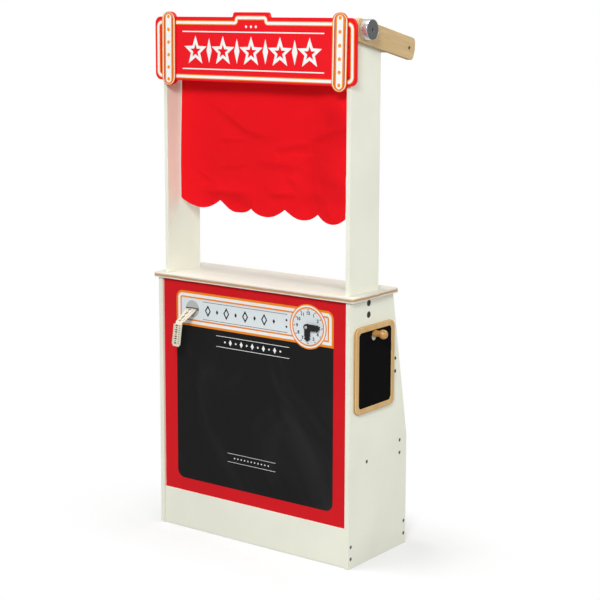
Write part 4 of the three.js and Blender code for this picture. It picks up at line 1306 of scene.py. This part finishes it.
def add_tickets():
    route = ticket_route()
    low, high = extent("ticket_strip")
    half = PAPER_THICKNESS / 2
    distances = strip_distances(route)
    reaches = [half_width(distance, (high.x - low.x) / 2) for distance in distances]
    body = strip_patch(route, distances, [(-reach, reach) for reach in reaches], -half, PAPER_THICKNESS)
    strip = add_patches("paper_strip", [body])
    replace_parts(strip, "ticket_strip")
    marks = []

    def mark(along, half_height, sides):
        ends = (along - half_height, along + half_height)
        marks.append(strip_patch(route, ends, (sides, sides), half, MARK_THICKNESS))

    for ticket in range(TICKETS):
        for first, step, number, half_height, sides in MARK_ROWS:
            for row in range(number):
                along = ticket * TICKET_LENGTH + first + step * row
                mark(along, half_height, sides[row % len(sides)])
    for across in DASH_PLACES:
        mark(TICKET_LENGTH, DASH_HALF_HEIGHT, (across - DASH_HALF, across + DASH_HALF))
    add_patches("ticket_marks", marks, "black_ink")


# Room: a pale floor and soft studio light

WHITE = (1, 1, 1, 1)
ROOM_LIGHT = 0.36
FLOOR_SIZE = 30
FLOOR_DROP = 0.0005
FLOOR_SEEN = (0.52, 0.52, 0.52, 1)
FLOOR_BOUNCE = (0.42, 0.42, 0.42, 1)
FLOOR_GLOW = 0.32
FLOOR_NEAR = 0.10
FLOOR_FAR = 0.27
# Middle and half size of the object's base, and how much faster the floor turns white behind it, in metres
BASE_MIDDLE = (0, 0.1, 0)
BASE_HALF = (0.25, 0.1, 0)
BASE_STRETCH = (1, 1.6, 0)
# Lamps as place, the place that each looks at, size in metres and power in watts
LAMPS = {
    "key": ((2.3, -4.2, 3.15), (0, 0, 0.7), 1.4, 188),
    "fill": ((3.2, 0.6, 1.8), (0, 0, 0.75), 1.8, 28),
    "overhead": ((-0.25, -0.3, 3.4), (0, 0, 0.5), 0.9, 62),
    "back": ((0.6, 2.6, 2.2), (0, 0, 0.7), 1.8, 20),
}


def add_floor():
    """Takes the object's shadow near it and turns into plain white further off."""
    bpy.ops.mesh.primitive_plane_add(size=FLOOR_SIZE, location=(0, 0, -FLOOR_DROP))
    floor = bpy.context.object
    floor.name = "floor"
    ground = Finish("floor", Roughness=0.9, Specular_IOR_Level=0.0, Base_Color=FLOOR_SEEN)
    near = ground.add("ShaderNodeAddShader")
    ground.feed(near.inputs[0], ground.shader.outputs[0])
    ground.feed(near.inputs[1], ground.add("ShaderNodeEmission", Strength=FLOOR_GLOW).outputs[0])
    place = ground.add("ShaderNodeTexCoord").outputs["Object"]
    steps = (("SUBTRACT", BASE_MIDDLE), ("ABSOLUTE", None), ("SUBTRACT", BASE_HALF), ("MAXIMUM", (0, 0, 0)))
    for operation, amount in (*steps, ("MULTIPLY", BASE_STRETCH)):
        step = ground.add("ShaderNodeVectorMath", operation=operation)
        ground.feed(step.inputs[0], place)
        if amount is not None:
            ground.feed(step.inputs[1], amount)
        place = step.outputs[0]
    reach = ground.add("ShaderNodeVectorMath", operation="LENGTH")
    ground.feed(reach.inputs[0], place)
    fade = ground.spread(reach.outputs["Value"], FLOOR_NEAR, FLOOR_FAR)
    seen = ground.mix(fade, near.outputs[0], ground.add("ShaderNodeEmission").outputs[0])
    bounce = ground.add("ShaderNodeBsdfDiffuse", Color=FLOOR_BOUNCE).outputs[0]
    straight = ground.add("ShaderNodeLightPath").outputs["Is Camera Ray"]
    ground.feed(ground.tree.nodes["Material Output"].inputs[0], ground.mix(straight, bounce, seen))
    floor.data.materials.append(ground.material)


def add_world():
    """Dim white light from all round, before a plain white background."""
    world = bpy.data.worlds.new("studio")
    bpy.context.scene.world = world
    world.use_nodes = True
    world.node_tree.nodes.clear()
    studio = Nodes(world.node_tree)
    room = studio.add("ShaderNodeBackground", Color=WHITE, Strength=ROOM_LIGHT).outputs[0]
    seen = studio.add("ShaderNodeBackground", Color=WHITE, Strength=1.0).outputs[0]
    straight = studio.add("ShaderNodeLightPath").outputs["Is Camera Ray"]
    studio.feed(studio.add("ShaderNodeOutputWorld").inputs[0], studio.mix(straight, room, seen))


def add_lamps():
    for name, (place, target, size, power) in LAMPS.items():
        data = bpy.data.lights.new(name, "AREA")
        data.shape = "DISK"
        data.size = size
        data.energy = power
        lamp = bpy.data.objects.new(name, data)
        bpy.context.collection.objects.link(lamp)
        aim = Vector(target) - Vector(place)
        lamp.matrix_world = Matrix.Translation(place) @ aim.to_track_quat("-Z", "Y").to_matrix().to_4x4()


bpy.context.scene.view_settings.view_transform = "Standard"
add_camera()
add_world()
add_floor()
add_lamps()
coat_cad_nodes()
dress_boards()
dress_turned_nodes()
add_panel_screws()
add_sign_screws()
print_sign()
for strip_side in SIDES:
    add_bulb_strip(strip_side)
print_panel()
print_clock()
add_roller()
add_knobs()
add_peg()
add_curtain()
add_tickets()
add_hands()
